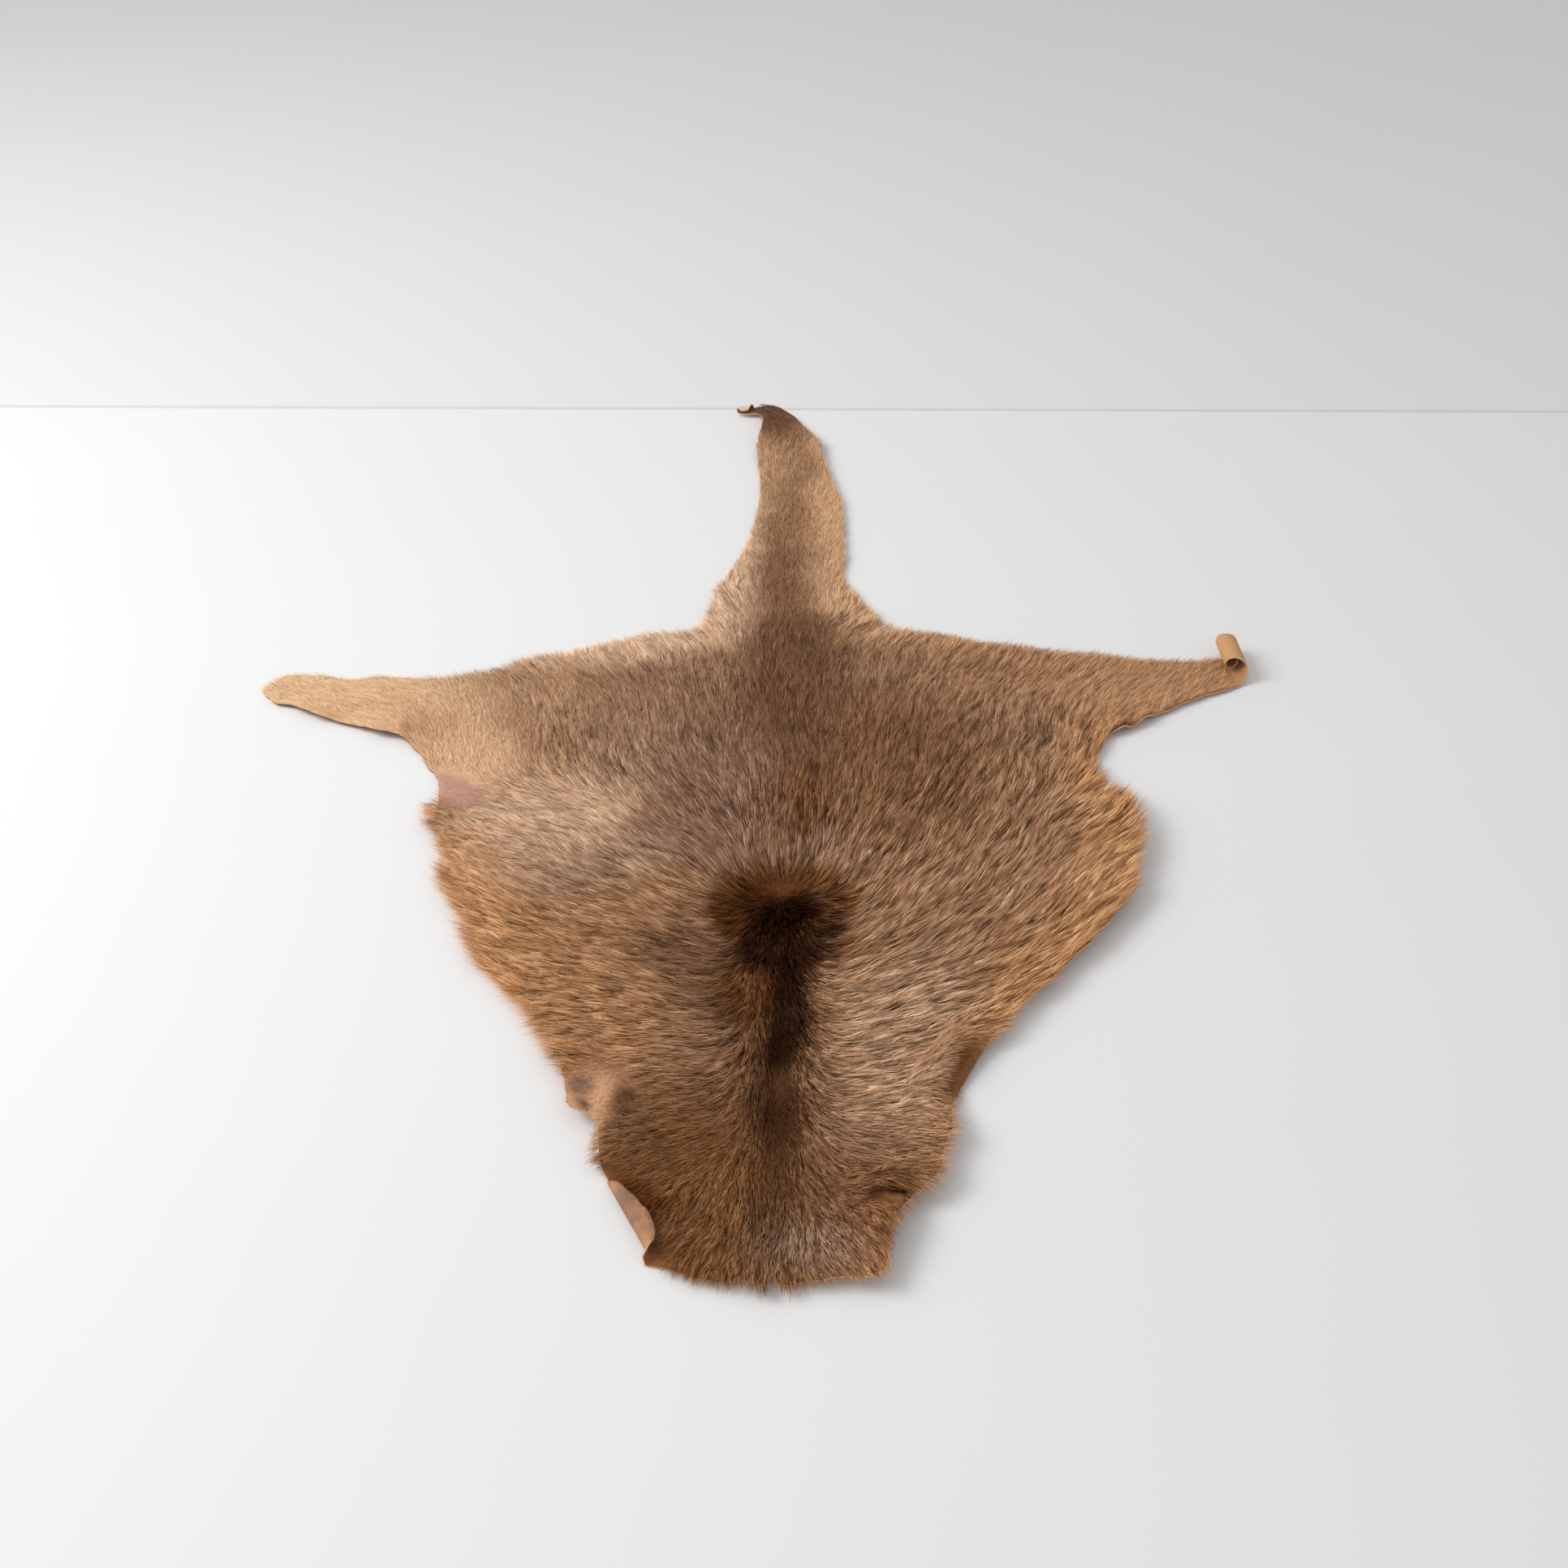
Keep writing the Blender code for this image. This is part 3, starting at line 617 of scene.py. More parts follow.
def hair_way(places):
    """The direction in which the hair lies on the flat skin, for places about the rug's middle."""
    x, y = places[:, 0], places[:, 1]
    at, spine_x, left, right = np.array(LEANS).T
    side = x - np.interp(y, at, spine_x)
    lean = np.where(side < 0, np.interp(y, at, left), np.interp(y, at, right))
    fan = RUMP_FAN * smooth((np.abs(side) - FAN_FROM_X) / FAN_EASE_X)
    fan = fan * smooth((y - FAN_FROM_Y) / FAN_EASE_Y) * (y < RUMP_END)
    out = unit(np.radians(lean - fan))
    out[:, 0] *= np.where(side < 0, -1.0, 1.0)
    back = 2 * smooth((y - WHORL_Y) / WHORL_BLEND / 2 + 0.5) - 1
    part_width = PART_WIDTH + (FRONT_PART_WIDTH - PART_WIDTH) * smooth((WHORL_Y - y) / PART_EASE)
    ways = turned(np.column_stack([0 * back, back]), out, smooth(np.abs(side) / part_width))
    behind = smooth((y - LEG_FRONT) / LEG_FRONT_EASE) * (y < RUMP_END)
    for sign, heading in ((-1, LEFT_LEG_HEADING), (1, RIGHT_LEG_HEADING)):
        on_leg = smooth((sign * x - LEG_START) / LEG_CHANGE)
        ways = turned(ways, unit(math.radians(heading)), behind * on_leg)
    from_whorl = places - (WHORL_X, WHORL_Y)
    ways = turned(ways, turned(0 * ways, from_whorl, np.ones(len(x))), near_whorl(places))
    for patch in TURNS:
        ways = turned(ways, unit(math.radians(patch.value)), patch_share(places, patch))
    ways = turned(ways, unit(math.radians(TAIL_TIP_HEADING)), smooth((y - TAIL_TIP_FROM) / TAIL_TIP_EASE))
    angle = np.arctan2(ways[:, 1], ways[:, 0])
    for i, (length, most) in enumerate(SWAYS):
        angle += math.radians(most) * waves(places, length, 3.0 + i)
    return unit(angle)


way = hair_way(places)
comb = laid(flat + TRACE * way) - laid(flat - TRACE * way)
comb /= np.maximum(np.linalg.norm(comb, axis=1), TINY)[:, None]
print("hair at the left flank lies towards", comb[places[:, 0].argmin()].round(2))

# %% [markdown]
# The hair is longest on the flanks, shorter on the rump and neck, and short and close on the legs and the
# tail. Where the skin turns over it is worn down to a nap. Soft patches say so.

# %% How long the hair is
BODY_HAIR = 0.0195
HAIR_LENGTHS = table(Patch, [
    ("left flank", -0.25, -0.26, 75, 0.26, 0.1, 0.021, 1),
    ("right flank", 0.3, -0.26, 105, 0.26, 0.12, 0.0205, 1),
    ("neck", 0.02, -0.66, 0, 0.24, 0.22, 0.013, 1),
    ("rump", 0.03, 0.06, 0, 0.46, 0.24, 0.0106, 1),
    ("tail", 0.035, 0.46, 90, 0.42, 0.2, 0.0082, 1),
    ("tail tip", 0, 0.68, 150, 0.11, 0.08, 0.0075, 1),
    ("left leg", -0.43, 0.02, 5, 0.22, 0.17, 0.0066, 1),
    ("right leg", 0.46, 0.06, 0, 0.22, 0.17, 0.0088, 1),
    ("left groin", -0.27, -0.045, 120, 0.17, 0.09, 0.0082, 1),
    ("pale side", -0.16, -0.165, 35, 0.19, 0.12, 0.0132, 0.9),
    ("left armpit", -0.28, -0.122, -40, 0.06, 0.036, 0.0048, 1),
    ("left of the tail root", -0.065, 0.185, 65, 0.12, 0.055, 0.0126, 1),
    ("right of the tail root", 0.12, 0.16, 120, 0.06, 0.045, 0.015, 1),
    ("left lip", -0.12, -0.522, 80, 0.066, 0.04, 0.0036, 1),
    ("right crest", 0.15, -0.486, 59.5, 0.06, 0.034, 0.0105, 1),
    ("right band", 0.1675, -0.496, 59.5, 0.06, 0.02, 0.0035, 1),
    ("right of the neck", 0.148, -0.545, 60, 0.045, 0.034, 0.0125, 1),
    ("whorl", 0.028, -0.275, 0, 0.03, 0.022, 0.012, 0.8),
    ("notch", 0.014, -0.69, 0, 0.026, 0.02, 0.0165, 1),
    ("slit", 0.103, -0.6185, 9, 0.03, 0.0095, 0.003, 1),
])
NAP, NAP_EASE = 0.0026, 0.020
PARTED = 0.75
UNEVEN_LENGTH, UNEVEN_WAVES = 0.16, 0.030

reach = patched(places, BODY_HAIR, HAIR_LENGTHS)[:, 0]
for parting in PARTINGS:
    reach *= 1 - PARTED * bump(flat, parting)
for curl in CURLS:
    past, along = seen_from(flat, curl)
    worn = smooth(1 + past / NAP_EASE) * smooth(1 + (curl.reach - np.abs(along)) / NAP_EASE)
    reach += (NAP - reach) * worn * (past < CURL_CUT)
reach *= 1 + UNEVEN_LENGTH * waves(places, UNEVEN_WAVES, 9.0)
print("hair length from", reach.min().round(4), "to", reach.max().round(4))

# %% [markdown]
# The coat is painted next, as a person who airbrushes would do it: a ground tone, a golden band along the
# edges, soft patches of named tones, and then smaller marks. The edges of the patches wander, because the
# places are pushed about by noise before they are looked up. Tones are given as they are read off the
# finished rug. They are made linear here.

# %% The coat's tones
TONES = {
    "black": (34, 12, 1),
    "soot": (36, 15, 3),
    "dark russet": (85, 47, 13),
    "umber": (100, 71, 53),
    "bark": (120, 81, 49),
    "russet": (94, 56, 24),
    "loin brown": (112, 78, 53),
    "smoke": (135, 102, 79),
    "lilac": (124, 93, 75),
    "pale lilac": (160, 130, 110),
    "dun": (152, 118, 94),
    "ground": (150, 111, 81),
    "right ground": (145, 107, 78),
    "stone": (166, 128, 98),
    "pale stone": (178, 139, 108),
    "tail brown": (134, 98, 72),
    "tan": (178, 134, 98),
    "gold": (182, 130, 86),
    # the rim's gold, brightened with painted light for the left side that faces the lamp
    "bright gold": (206, 150, 103),
    "sand": (202, 162, 129),
    "pale sand": (218, 180, 147),
    "honey": (179, 129, 89),
    "lip tan": (186, 142, 108),
    "fawn": (200, 158, 120),
    "pale fawn": (216, 174, 136),
    "cream": (224, 188, 147),
    "mauve": (174, 132, 118),
    "slate": (96, 78, 70),
    "plum": (86, 56, 54),
    "rust": (120, 71, 35),
}


def linear(tone):
    """A tone of 0 to 255 as linear light."""
    share = np.array(tone) / 255.0
    return np.where(share <= 0.04045, share / 12.92, ((share + 0.055) / 1.055) ** 2.4)


print(len(TONES), "tones, the ground's as light:", linear(TONES["ground"]).round(3))

# %% The coat's patches
def painted(rows):
    """Patches of the coat's tones, from rows that name the tone."""
    return [Patch(*row[:6], linear(TONES[row[6]]), row[7]) for row in rows]


COAT = painted([
    ("right side", 0.2, -0.22, 90, 0.44, 0.26, "right ground", 0.9),
    ("left side", -0.19, -0.33, 60, 0.26, 0.15, "honey", 0.8),
    ("rump", 0.02, 0.01, 0, 0.36, 0.17, "smoke", 0.9),
    ("left thigh", -0.27, 0.03, 5, 0.16, 0.13, "stone", 0.95),
    ("left rump edge", -0.13, 0.125, 12, 0.17, 0.046, "pale sand", 1),
    ("right rump edge", 0.2, 0.125, -12, 0.17, 0.03, "tan", 0.8),
    ("right thigh", 0.29, 0.06, 0, 0.18, 0.09, "ground", 0.8),
    ("right leg", 0.42, 0.06, 10, 0.19, 0.12, "tan", 0.85),
    ("left leg", -0.43, 0.02, 175, 0.2, 0.13, "cream", 1),
    ("left groin", -0.285, -0.058, 125, 0.15, 0.066, "pale fawn", 1),
    ("leg root", -0.313, -0.021, -20, 0.045, 0.028, "tan", 0.7),
    ("pale side", -0.185, -0.18, 35, 0.155, 0.09, "sand", 0.95),
    ("pale streak", -0.205, -0.165, 10, 0.12, 0.05, "pale sand", 0.85),
    # golden left flank, painted lighter on the side that faces the lamp
    ("left flank", -0.27, -0.225, 112, 0.13, 0.052, "bright gold", 0.75),
    ("tail", 0.035, 0.45, 90, 0.4, 0.16, "fawn", 1),
    ("tail upper", 0.024, 0.56, 90, 0.12, 0.06, "dun", 0.4),
    ("tail left", -0.026, 0.38, 94, 0.22, 0.042, "pale sand", 1),
    ("tail root left", -0.055, 0.19, 75, 0.11, 0.07, "pale sand", 1),
    ("tail root right", 0.11, 0.19, 110, 0.09, 0.05, "fawn", 0.7),
    ("spine over the rump", 0.035, 0.06, 90, 0.2, 0.074, "umber", 1),
    ("spine over the tail", 0.03, 0.24, 90, 0.18, 0.05, "umber", 0.95),
    ("tail stripe", 0.032, 0.345, 89, 0.24, 0.04, "tail brown", 0.95),
    ("tail stripe low", 0.031, 0.262, 90, 0.1, 0.044, "umber", 0.38),
    ("tail gold", 0.08, 0.25, 90, 0.07, 0.028, "fawn", 0.8),
    ("tail bend side", 0.054, 0.545, 98, 0.09, 0.028, "tail brown", 0.8),
    ("tail bend", 0, 0.67, 120, 0.12, 0.08, "umber", 0.95),
    ("lilac back", -0.04, -0.135, 100, 0.18, 0.088, "lilac", 0.9),
    ("left loin", -0.115, -0.07, 95, 0.11, 0.06, "dun", 0.8),
    ("pale lilac", -0.122, -0.238, 30, 0.1, 0.05, "pale lilac", 0.7),
    ("right loin", 0.135, -0.09, 100, 0.17, 0.12, "loin brown", 0.9),
    ("spine over the loin", 0.044, -0.13, 91, 0.17, 0.04, "umber", 0.85),
    ("spine russet", 0.047, -0.16, 90, 0.085, 0.026, "russet", 0.75),
    ("left shoulder", -0.035, -0.375, 115, 0.1, 0.05, "umber", 0.6),
    ("neck", -0.02, -0.62, 90, 0.16, 0.16, "bark", 0.95),
    ("left side low", -0.115, -0.455, 60, 0.11, 0.07, "honey", 1),
    # golden left rim, painted lighter on the side that faces the lamp
    ("left rim", -0.205, -0.375, 121, 0.22, 0.055, "bright gold", 0.8),
    ("right neck", 0.08, -0.6, 90, 0.14, 0.075, "smoke", 0.35),
    ("right nape", 0.07, -0.57, 80, 0.075, 0.045, "loin brown", 0.6),
    ("right neck rim", 0.138, -0.54, 72, 0.1, 0.03, "ground", 0.7),
    ("neck corner", 0.104, -0.64, 0, 0.04, 0.05, "rust", 0.6),
    ("neck front", 0.048, -0.655, 0, 0.05, 0.036, "pale lilac", 0.6),
    ("right of the stripe", 0.11, -0.46, 75, 0.13, 0.08, "pale stone", 0.85),
    ("left of the whorl", -0.012, -0.222, 120, 0.066, 0.044, "lilac", 0.6),
    ("right of the whorl", 0.064, -0.236, 60, 0.05, 0.034, "lilac", 0.7),
])
print(len(COAT), "patches on the coat")

# %% The coat's marks
MARKS = painted([
    ("whorl halo", 0.002, -0.3, 110, 0.054, 0.042, "dark russet", 0.95),
    ("low halo", 0.004, -0.385, 90, 0.06, 0.034, "dark russet", 0.75),
    ("whorl", 0.03, -0.266, 0, 0.05, 0.026, "russet", 0.95),
    ("right halo", 0.062, -0.3, 60, 0.04, 0.026, "russet", 0.85),
    ("low right halo", 0.056, -0.352, 20, 0.034, 0.018, "russet", 0.7),
    ("stripe halo", 0.026, -0.46, 90, 0.12, 0.05, "dark russet", 0.5),
    ("black core", 0.03, -0.303, 55, 0.042, 0.029, "black", 1),
    ("black spot", 0.063, -0.319, 90, 0.019, 0.013, "black", 0.85),
    ("black middle", 0.026, -0.343, 8, 0.052, 0.038, "black", 0.97),
    ("black low", 0.033, -0.379, 90, 0.046, 0.022, "black", 0.98),
    ("stripe", 0.032, -0.42, 90, 0.046, 0.024, "soot", 0.92),
    ("stripe knot", 0.024, -0.455, 90, 0.038, 0.025, "black", 0.95),
    ("stripe low", 0.023, -0.51, 92, 0.085, 0.027, "soot", 0.64),
    ("nape stripe", 0.02, -0.59, 90, 0.11, 0.024, "soot", 0.45),
    ("bare patch", -0.278, -0.128, -40, 0.056, 0.026, "mauve", 0.95),
    ("right band", 0.1655, -0.495, 59.5, 0.046, 0.018, "bark", 0.95),
    # painted shadow: a dark russet strip along the inner edge of the right band, below the crest
    ("above the right band", 0.157, -0.487, 59.5, 0.034, 0.007, "dark russet", 0.7),
    ("lip", -0.116, -0.524, 80, 0.062, 0.036, "lip tan", 0.95),
    ("lip spot", -0.128, -0.509, 60, 0.018, 0.012, "slate", 0.7),
    # dark plum under the turned-up lip: partly the flesh side's colour, partly painted shade beneath the
    # lip
    ("below the lip", -0.1215, -0.532, -43, 0.013, 0.0045, "plum", 0.9),
    ("behind the lip", -0.09, -0.52, 60, 0.026, 0.008, "soot", 0.5),
    # painted shadow: dark russet beside the top of the turned-back edge, where the flap shades the fur
    ("over the turned edge", -0.072, -0.61, -28, 0.04, 0.02, "dark russet", 0.85),
    ("over the slit", 0.1, -0.61, 10, 0.022, 0.008, "rust", 0.3),
    # painted shade: black lines down the parted pile of the neck slit
    ("slit", 0.0965, -0.6205, 8, 0.017, 0.0056, "black", 1),
    ("slit end", 0.11, -0.6165, 12, 0.015, 0.0054, "black", 1),
])
print(len(MARKS), "marks over the patches")

# %% Paint the coat
GOLDEN, GOLDEN_CORE = 0.9, 1.15
RIM_BAND_Y = (-0.70, -0.55, -0.42, -0.20, -0.08, 0.15, 0.70)
RIM_BAND_WIDTH = (0.018, 0.030, 0.065, 0.080, 0.042, 0.028, 0.012)
WANDERS = ((0.060, 0.010), (0.020, 0.006))
MARK_WANDER = 0.25
SPRAY, SPRAYS = 0.016, 6
WARMTH = (1.10, 1.0, 0.93)

rim = nearest(flat, cut)
wandering = places.copy()
for i, (length, most) in enumerate(WANDERS):
    wandering += most * np.column_stack([waves(places, length, 20.0 + i), waves(places, length, 40.0 + i)])
band = np.interp(places[:, 1], RIM_BAND_Y, RIM_BAND_WIDTH)
golden = GOLDEN * smooth(GOLDEN_CORE - rim / band)[:, None]


def sprayed(at):
    """The coat's ground tones and patches, without its marks."""
    tone = patched(at, linear(TONES["ground"]), COAT[:2])
    tone += golden * (linear(TONES["gold"]) - tone)
    for patch in COAT[2:]:
        tone += patch_share(at, patch)[:, None] * (patch.value - tone)
    return tone


coat = sprayed(wandering) / (SPRAYS + 1)
for angle in np.radians(np.arange(SPRAYS) * 360.0 / SPRAYS):
    coat += sprayed(wandering + SPRAY * unit(angle)) / (SPRAYS + 1)
for patch in MARKS:
    coat += patch_share(places + MARK_WANDER * (wandering - places), patch)[:, None] * (patch.value - coat)
coat *= WARMTH
print("mean coat", coat.mean(axis=0).round(3))

# %% [markdown]
# A pattern in Blender is a tree of nodes. Written out node by node it is long and hard to read, so one
# small class wraps a socket: Python's operators add Math nodes, and one method adds any other node.

# %% A socket that takes part in Python's sums
class Wire:
    """A socket of a node tree. Operators add Math nodes behind it, and node() adds any other node."""

    def __init__(self, tree, socket=None):
        self.tree = tree
        self.socket = socket

    def node(self, kind, settings=(), inputs=(), output=0):
        """Adds a node, its settings first and then its inputs' values or links, and gives one output."""
        made = self.tree.nodes.new(kind)
        for name, value in dict(settings).items():
            if name == "stops":
                while len(made.color_ramp.elements) < len(value):
                    made.color_ramp.elements.new(1.0)
                for stop, (place, colour) in zip(made.color_ramp.elements, value):
                    stop.position = place
                    stop.color = (*colour, 1.0)
            else:
                setattr(made, name, value)
        for name, value in dict(inputs).items():
            if isinstance(value, Wire):
                self.tree.links.new(value.socket, made.inputs[name])
            else:
                made.inputs[name].default_value = value
        return Wire(self.tree, made.outputs[output])

    def __getitem__(self, output):
        """Another output of the same node."""
        return Wire(self.tree, self.socket.node.outputs[output])

    def math(self, operation, *others, swap=False):
        values = (*others, self) if swap else (self, *others)
        return self.node("ShaderNodeMath", {"operation": operation}, dict(enumerate(values)))

    def __add__(self, other):
        return self.math("ADD", other)

    __radd__ = __add__

    def __mul__(self, other):
        return self.math("MULTIPLY", other)

    __rmul__ = __mul__

    def __sub__(self, other):
        return self.math("SUBTRACT", other)

    def __rsub__(self, other):
        return self.math("SUBTRACT", other, swap=True)

    def vector(self, operation, *others, output=0):
        """A Vector Math node on this socket and other values."""
        values = dict(enumerate((self, *others)))
        return self.node("ShaderNodeVectorMath", {"operation": operation}, values, output)

    def scaled(self, size):
        """This vector times a number."""
        return self.node("ShaderNodeVectorMath", {"operation": "SCALE"}, {0: self, "Scale": size})

    def clouds(self, scale, detail=2.0, roughness=0.5):
        """Noise at this place."""
        inputs = {"Vector": self, "Scale": scale, "Detail": detail, "Roughness": roughness}
        return self.node("ShaderNodeTexNoise", inputs=inputs)

    def ranged(self, low, high, bottom=0.0, top=1.0):
        """This number, with low to high stretched to bottom to top."""
        return self.node("ShaderNodeMapRange", inputs={0: self, 1: low, 2: high, 3: bottom, 4: top})

    def between(self, first, second):
        """The first colour mixed with the second by this share."""
        return self.node("ShaderNodeMix", {"data_type": "RGBA"}, {0: self, 6: first, 7: second}, 2)

    def place(self):
        """The place on the piece."""
        return self.node("ShaderNodeTexCoord", output="Object")

    def carried(self, name, output="Fac"):
        """What the mesh carries under a name."""
        return self.node("ShaderNodeAttribute", {"attribute_name": name}, output=output)


def finish(name, **sockets):
    """A material whose Principled shader has these values. Each may be a function of the tree's Wire."""
    made = bpy.data.materials.new(name)
    made.use_nodes = True
    tree = made.node_tree
    shader = tree.nodes["Principled BSDF"]
    for socket, value in sockets.items():
        target = shader.inputs[socket.replace("_", " ").title().replace("Ior", "IOR")]
        if callable(value):
            tree.links.new(value(Wire(tree)).socket, target)
        else:
            target.default_value = value
    return made


print("a Wire's sums: + - *, and its nodes:", [name for name in vars(Wire) if "_" not in name])

# %% [markdown]
# Hair is dark where it leaves the skin, because little light gets down there, and pale towards its tip. No
# two hairs have the same tone, and the hairs of a lock are alike. All of this is in the hair's colour. The
# coat's own tone comes from the skin under it, as an attribute that each hair carries. Light that goes in
# between hairs comes out weaker, the more so the darker they are, so a last sum makes each hair brighter
# than the coat should look.

# %% The hair's material
GAIN, CAVITY = 1.16, 0.42
HAIR_STOPS = [(0.0, (0.20, 0.15, 0.12)), (0.45, (0.91, 0.90, 0.89)), (1.0, (1.20, 1.22, 1.25))]
DARK_WARMTH = (0.08, 0.16)
# the streak runs darker and paler along the comb: partly the coat's own tone, partly painted shade between
# locks
SPREADS = {"tint": 0.60, "lock": 0.88, "streak": 1.62}


def hair_colour(start):
    """The coat's tone, by the place along the hair, its lock and the hair itself."""
    shade = start.node("ShaderNodeValToRGB", {"stops": HAIR_STOPS}, {0: start.carried("along")})
    tint, lock, streak = (1 - size / 2 + start.carried(name) * size for name, size in SPREADS.items())
    spread = tint * lock * streak
    green, blue = (spread * (1 - warm + spread * warm) for warm in DARK_WARMTH)
    spread = start.node("ShaderNodeCombineXYZ", inputs={0: spread, 1: green, 2: blue})
    seen = start.carried("coat", "Color").vector("MULTIPLY", shade).vector("MULTIPLY", spread).scaled(GAIN)
    return seen.vector("DIVIDE", seen.scaled(CAVITY).vector("ADD", (1 - CAVITY,) * 3))


fur = finish("fur", base_color=hair_colour, roughness=0.6, specular_ior_level=0.08)
print("fur has", len(fur.node_tree.nodes), "nodes")

# %% [markdown]
# The flesh side is suede: matt, golden tan, with darker mottling and a fine nap. The tail's tip shows a
# paler cream where it curls over. Under the hair the skin takes the coat's colour, darkened by painted
# shade, most under the longest hair, so that no pale leather shines through. The cut through the leather
# is pale.

# %% The skin's materials
def leather(*tone):
    """A tone of leather, as a colour socket takes it."""
    return (*linear(tone), 1.0)


SUEDE, SUEDE_DARK, SUEDE_CREAM = leather(194, 144, 106), leather(128, 88, 66), leather(222, 196, 168)
SUEDE_GOLD, SUEDE_GREY = leather(208, 158, 110), leather(134, 108, 92)
CUT_PALE, CUT_DARK = leather(212, 176, 140), leather(112, 80, 66)
GOLD_FROM_X, CREAM_FROM_Y, TONE_EASE = 0.40, 0.60, 0.03
GOLD_SHARE = 0.85
CUT_DARK_TO_X, CUT_EASE = -0.26, 0.05
BLOTS, BROAD_BLOTS, BLOT_SHARE = (70.0, 5.0, 0.6), (14.0, 3.0), 0.6
MOTTLE_RANGE, MOTTLE_SHARE = (0.44, 0.68), 0.75
STROKES, STROKES_TURN, STROKE_RANGE = (1500.0, 240.0, 240.0), math.radians(-60), (0.52, 0.70, 0.0, 0.7)
GREY_SPOTS, GREY_HEIGHT, GREY_SHARE = ((-0.085, -0.622, 0.016), (-0.080, -0.640, 0.012)), 0.010, 0.8
GREY_FROM, GREY_CORE = 1.4, 0.7
NAP_FINE, NAP_BROAD, NAP_FINE_SHARE = (900.0, 3.0), (160.0, 4.0), 0.35
NAP_BUMP, NAP_DEPTH = 0.45, 0.0012
GRAIN, GRAIN_LOW, GRAIN_SPAN = (420.0, 3.0), 0.7, 0.6


def suede_colour(start):
    """Tan with darker mottling and nap strokes, golden on the scroll and cream at the tail's tip."""
    place = start.place()
    parts = start.node("ShaderNodeSeparateXYZ", inputs={0: place})
    blots = place.clouds(*BLOTS)
    mottle = (blots * BLOT_SHARE + place.clouds(*BROAD_BLOTS) * (1 - BLOT_SHARE)).ranged(*MOTTLE_RANGE)
    tan = (mottle * MOTTLE_SHARE).between(SUEDE, SUEDE_DARK)
    turned_nap = {0: place, "Rotation": (0.0, 0.0, STROKES_TURN), "Scale": STROKES}
    strokes = start.node("ShaderNodeMapping", inputs=turned_nap).clouds(1.0, 3.0)
    tan = strokes.ranged(*STROKE_RANGE).between(tan, SUEDE_DARK)
    for x, y, size in GREY_SPOTS:
        away = place.vector("DISTANCE", (x, y, GREY_HEIGHT), output=1) + blots * size
        tan = away.ranged(size * GREY_FROM, size * GREY_CORE, 0.0, GREY_SHARE).between(tan, SUEDE_GREY)
    tan = parts.ranged(GOLD_FROM_X, GOLD_FROM_X + TONE_EASE, 0.0, GOLD_SHARE).between(tan, SUEDE_GOLD)
    return parts["Y"].ranged(CREAM_FROM_Y, CREAM_FROM_Y + TONE_EASE).between(tan, SUEDE_CREAM)


def suede_nap(start):
    """A fine bump of nap and pores."""
    place = start.place()
    height = place.clouds(*NAP_FINE) * NAP_FINE_SHARE + place.clouds(*NAP_BROAD) * (1 - NAP_FINE_SHARE)
    inputs = {"Strength": NAP_BUMP, "Distance": NAP_DEPTH, "Height": height}
    return start.node("ShaderNodeBump", inputs=inputs)


def undercoat_colour(start):
    """The coat's tone with painted shade, as it is deep among the hairs or on bare skin."""
    return start.carried("under", "Color").scaled(start.place().clouds(*GRAIN) * GRAIN_SPAN + GRAIN_LOW)


def cut_colour(start):
    """Pale leather, darker along the left leg."""
    x = start.node("ShaderNodeSeparateXYZ", inputs={0: start.place()})
    return x.ranged(CUT_DARK_TO_X, CUT_DARK_TO_X + CUT_EASE).between(CUT_DARK, CUT_PALE)


suede = finish("suede", base_color=suede_colour, roughness=0.88, specular_ior_level=0.2, normal=suede_nap)
undercoat = finish("undercoat", base_color=undercoat_colour, roughness=0.95, specular_ior_level=0.1)
cut_edge = finish("cut edge", base_color=cut_colour, roughness=0.8, normal=suede_nap)
print("materials", [made.name for made in (fur, suede, undercoat, cut_edge)])

# %% [markdown]
# The skin is a closed mesh: the flesh side, the fur side a leather's thickness above it, and a narrow wall
# between them all round. Edges that only one triangle uses are the rim, so the wall is built on those.

# %% Build the skin
INT, FLOAT, VECTOR, COLOUR = "INT", "FLOAT", "FLOAT_VECTOR", "FLOAT_COLOR"
FIELDS = {INT: "value", FLOAT: "value", VECTOR: "vector", COLOUR: "color"}
BARE = Patch("bare patch", -0.281, -0.127, -40, 0.052, 0.02, 0, 1)
UNDER_LENGTHS, PILE_SHADE_SHARES, BARE_SHARE = (0.006, 0.014), (0.84, 0.30), 0.82


def mesh_object(name, points, faces, slots=(), materials=()):
    """A mesh in the scene, with each face's material slot."""
    mesh = bpy.data.meshes.new(name)
    mesh.from_pydata([tuple(p) for p in points], [], [tuple(f) for f in faces])
    for made in materials:
        mesh.materials.append(made)
    if len(slots):
        mesh.polygons.foreach_set("material_index", np.array(slots, dtype=np.int32))
    mesh.shade_smooth()
    return add_object(name, mesh)


def add_attribute(made, name, values, kind=FLOAT, domain="POINT"):
    """A named attribute on a mesh object's points or faces."""
    attribute = made.data.attributes.new(name, kind, domain)
    values = np.ravel(values).astype(np.int32 if kind == INT else np.float32)
    attribute.data.foreach_set(FIELDS[kind], values)


def rim_edges(faces):
    """The edges that only one triangle uses, as it runs along them."""
    there = {(int(a), int(b)) for k in range(3) for a, b in faces[:, [k, (k + 1) % 3]]}
    return [(a, b) for a, b in sorted(there) if (b, a) not in there]


count = len(flat)
walls = [(b + count, a + count, a, b) for a, b in rim_edges(triangles)]
faces = [*(triangles + count).tolist(), *triangles[:, ::-1].tolist(), *walls]
slots = [0] * len(triangles) + [1] * len(triangles) + [2] * len(walls)
skin = mesh_object("skin", np.vstack([flesh_side, fur_side]), faces, slots, (undercoat, suede, cut_edge))
bare = patch_share(places, BARE)
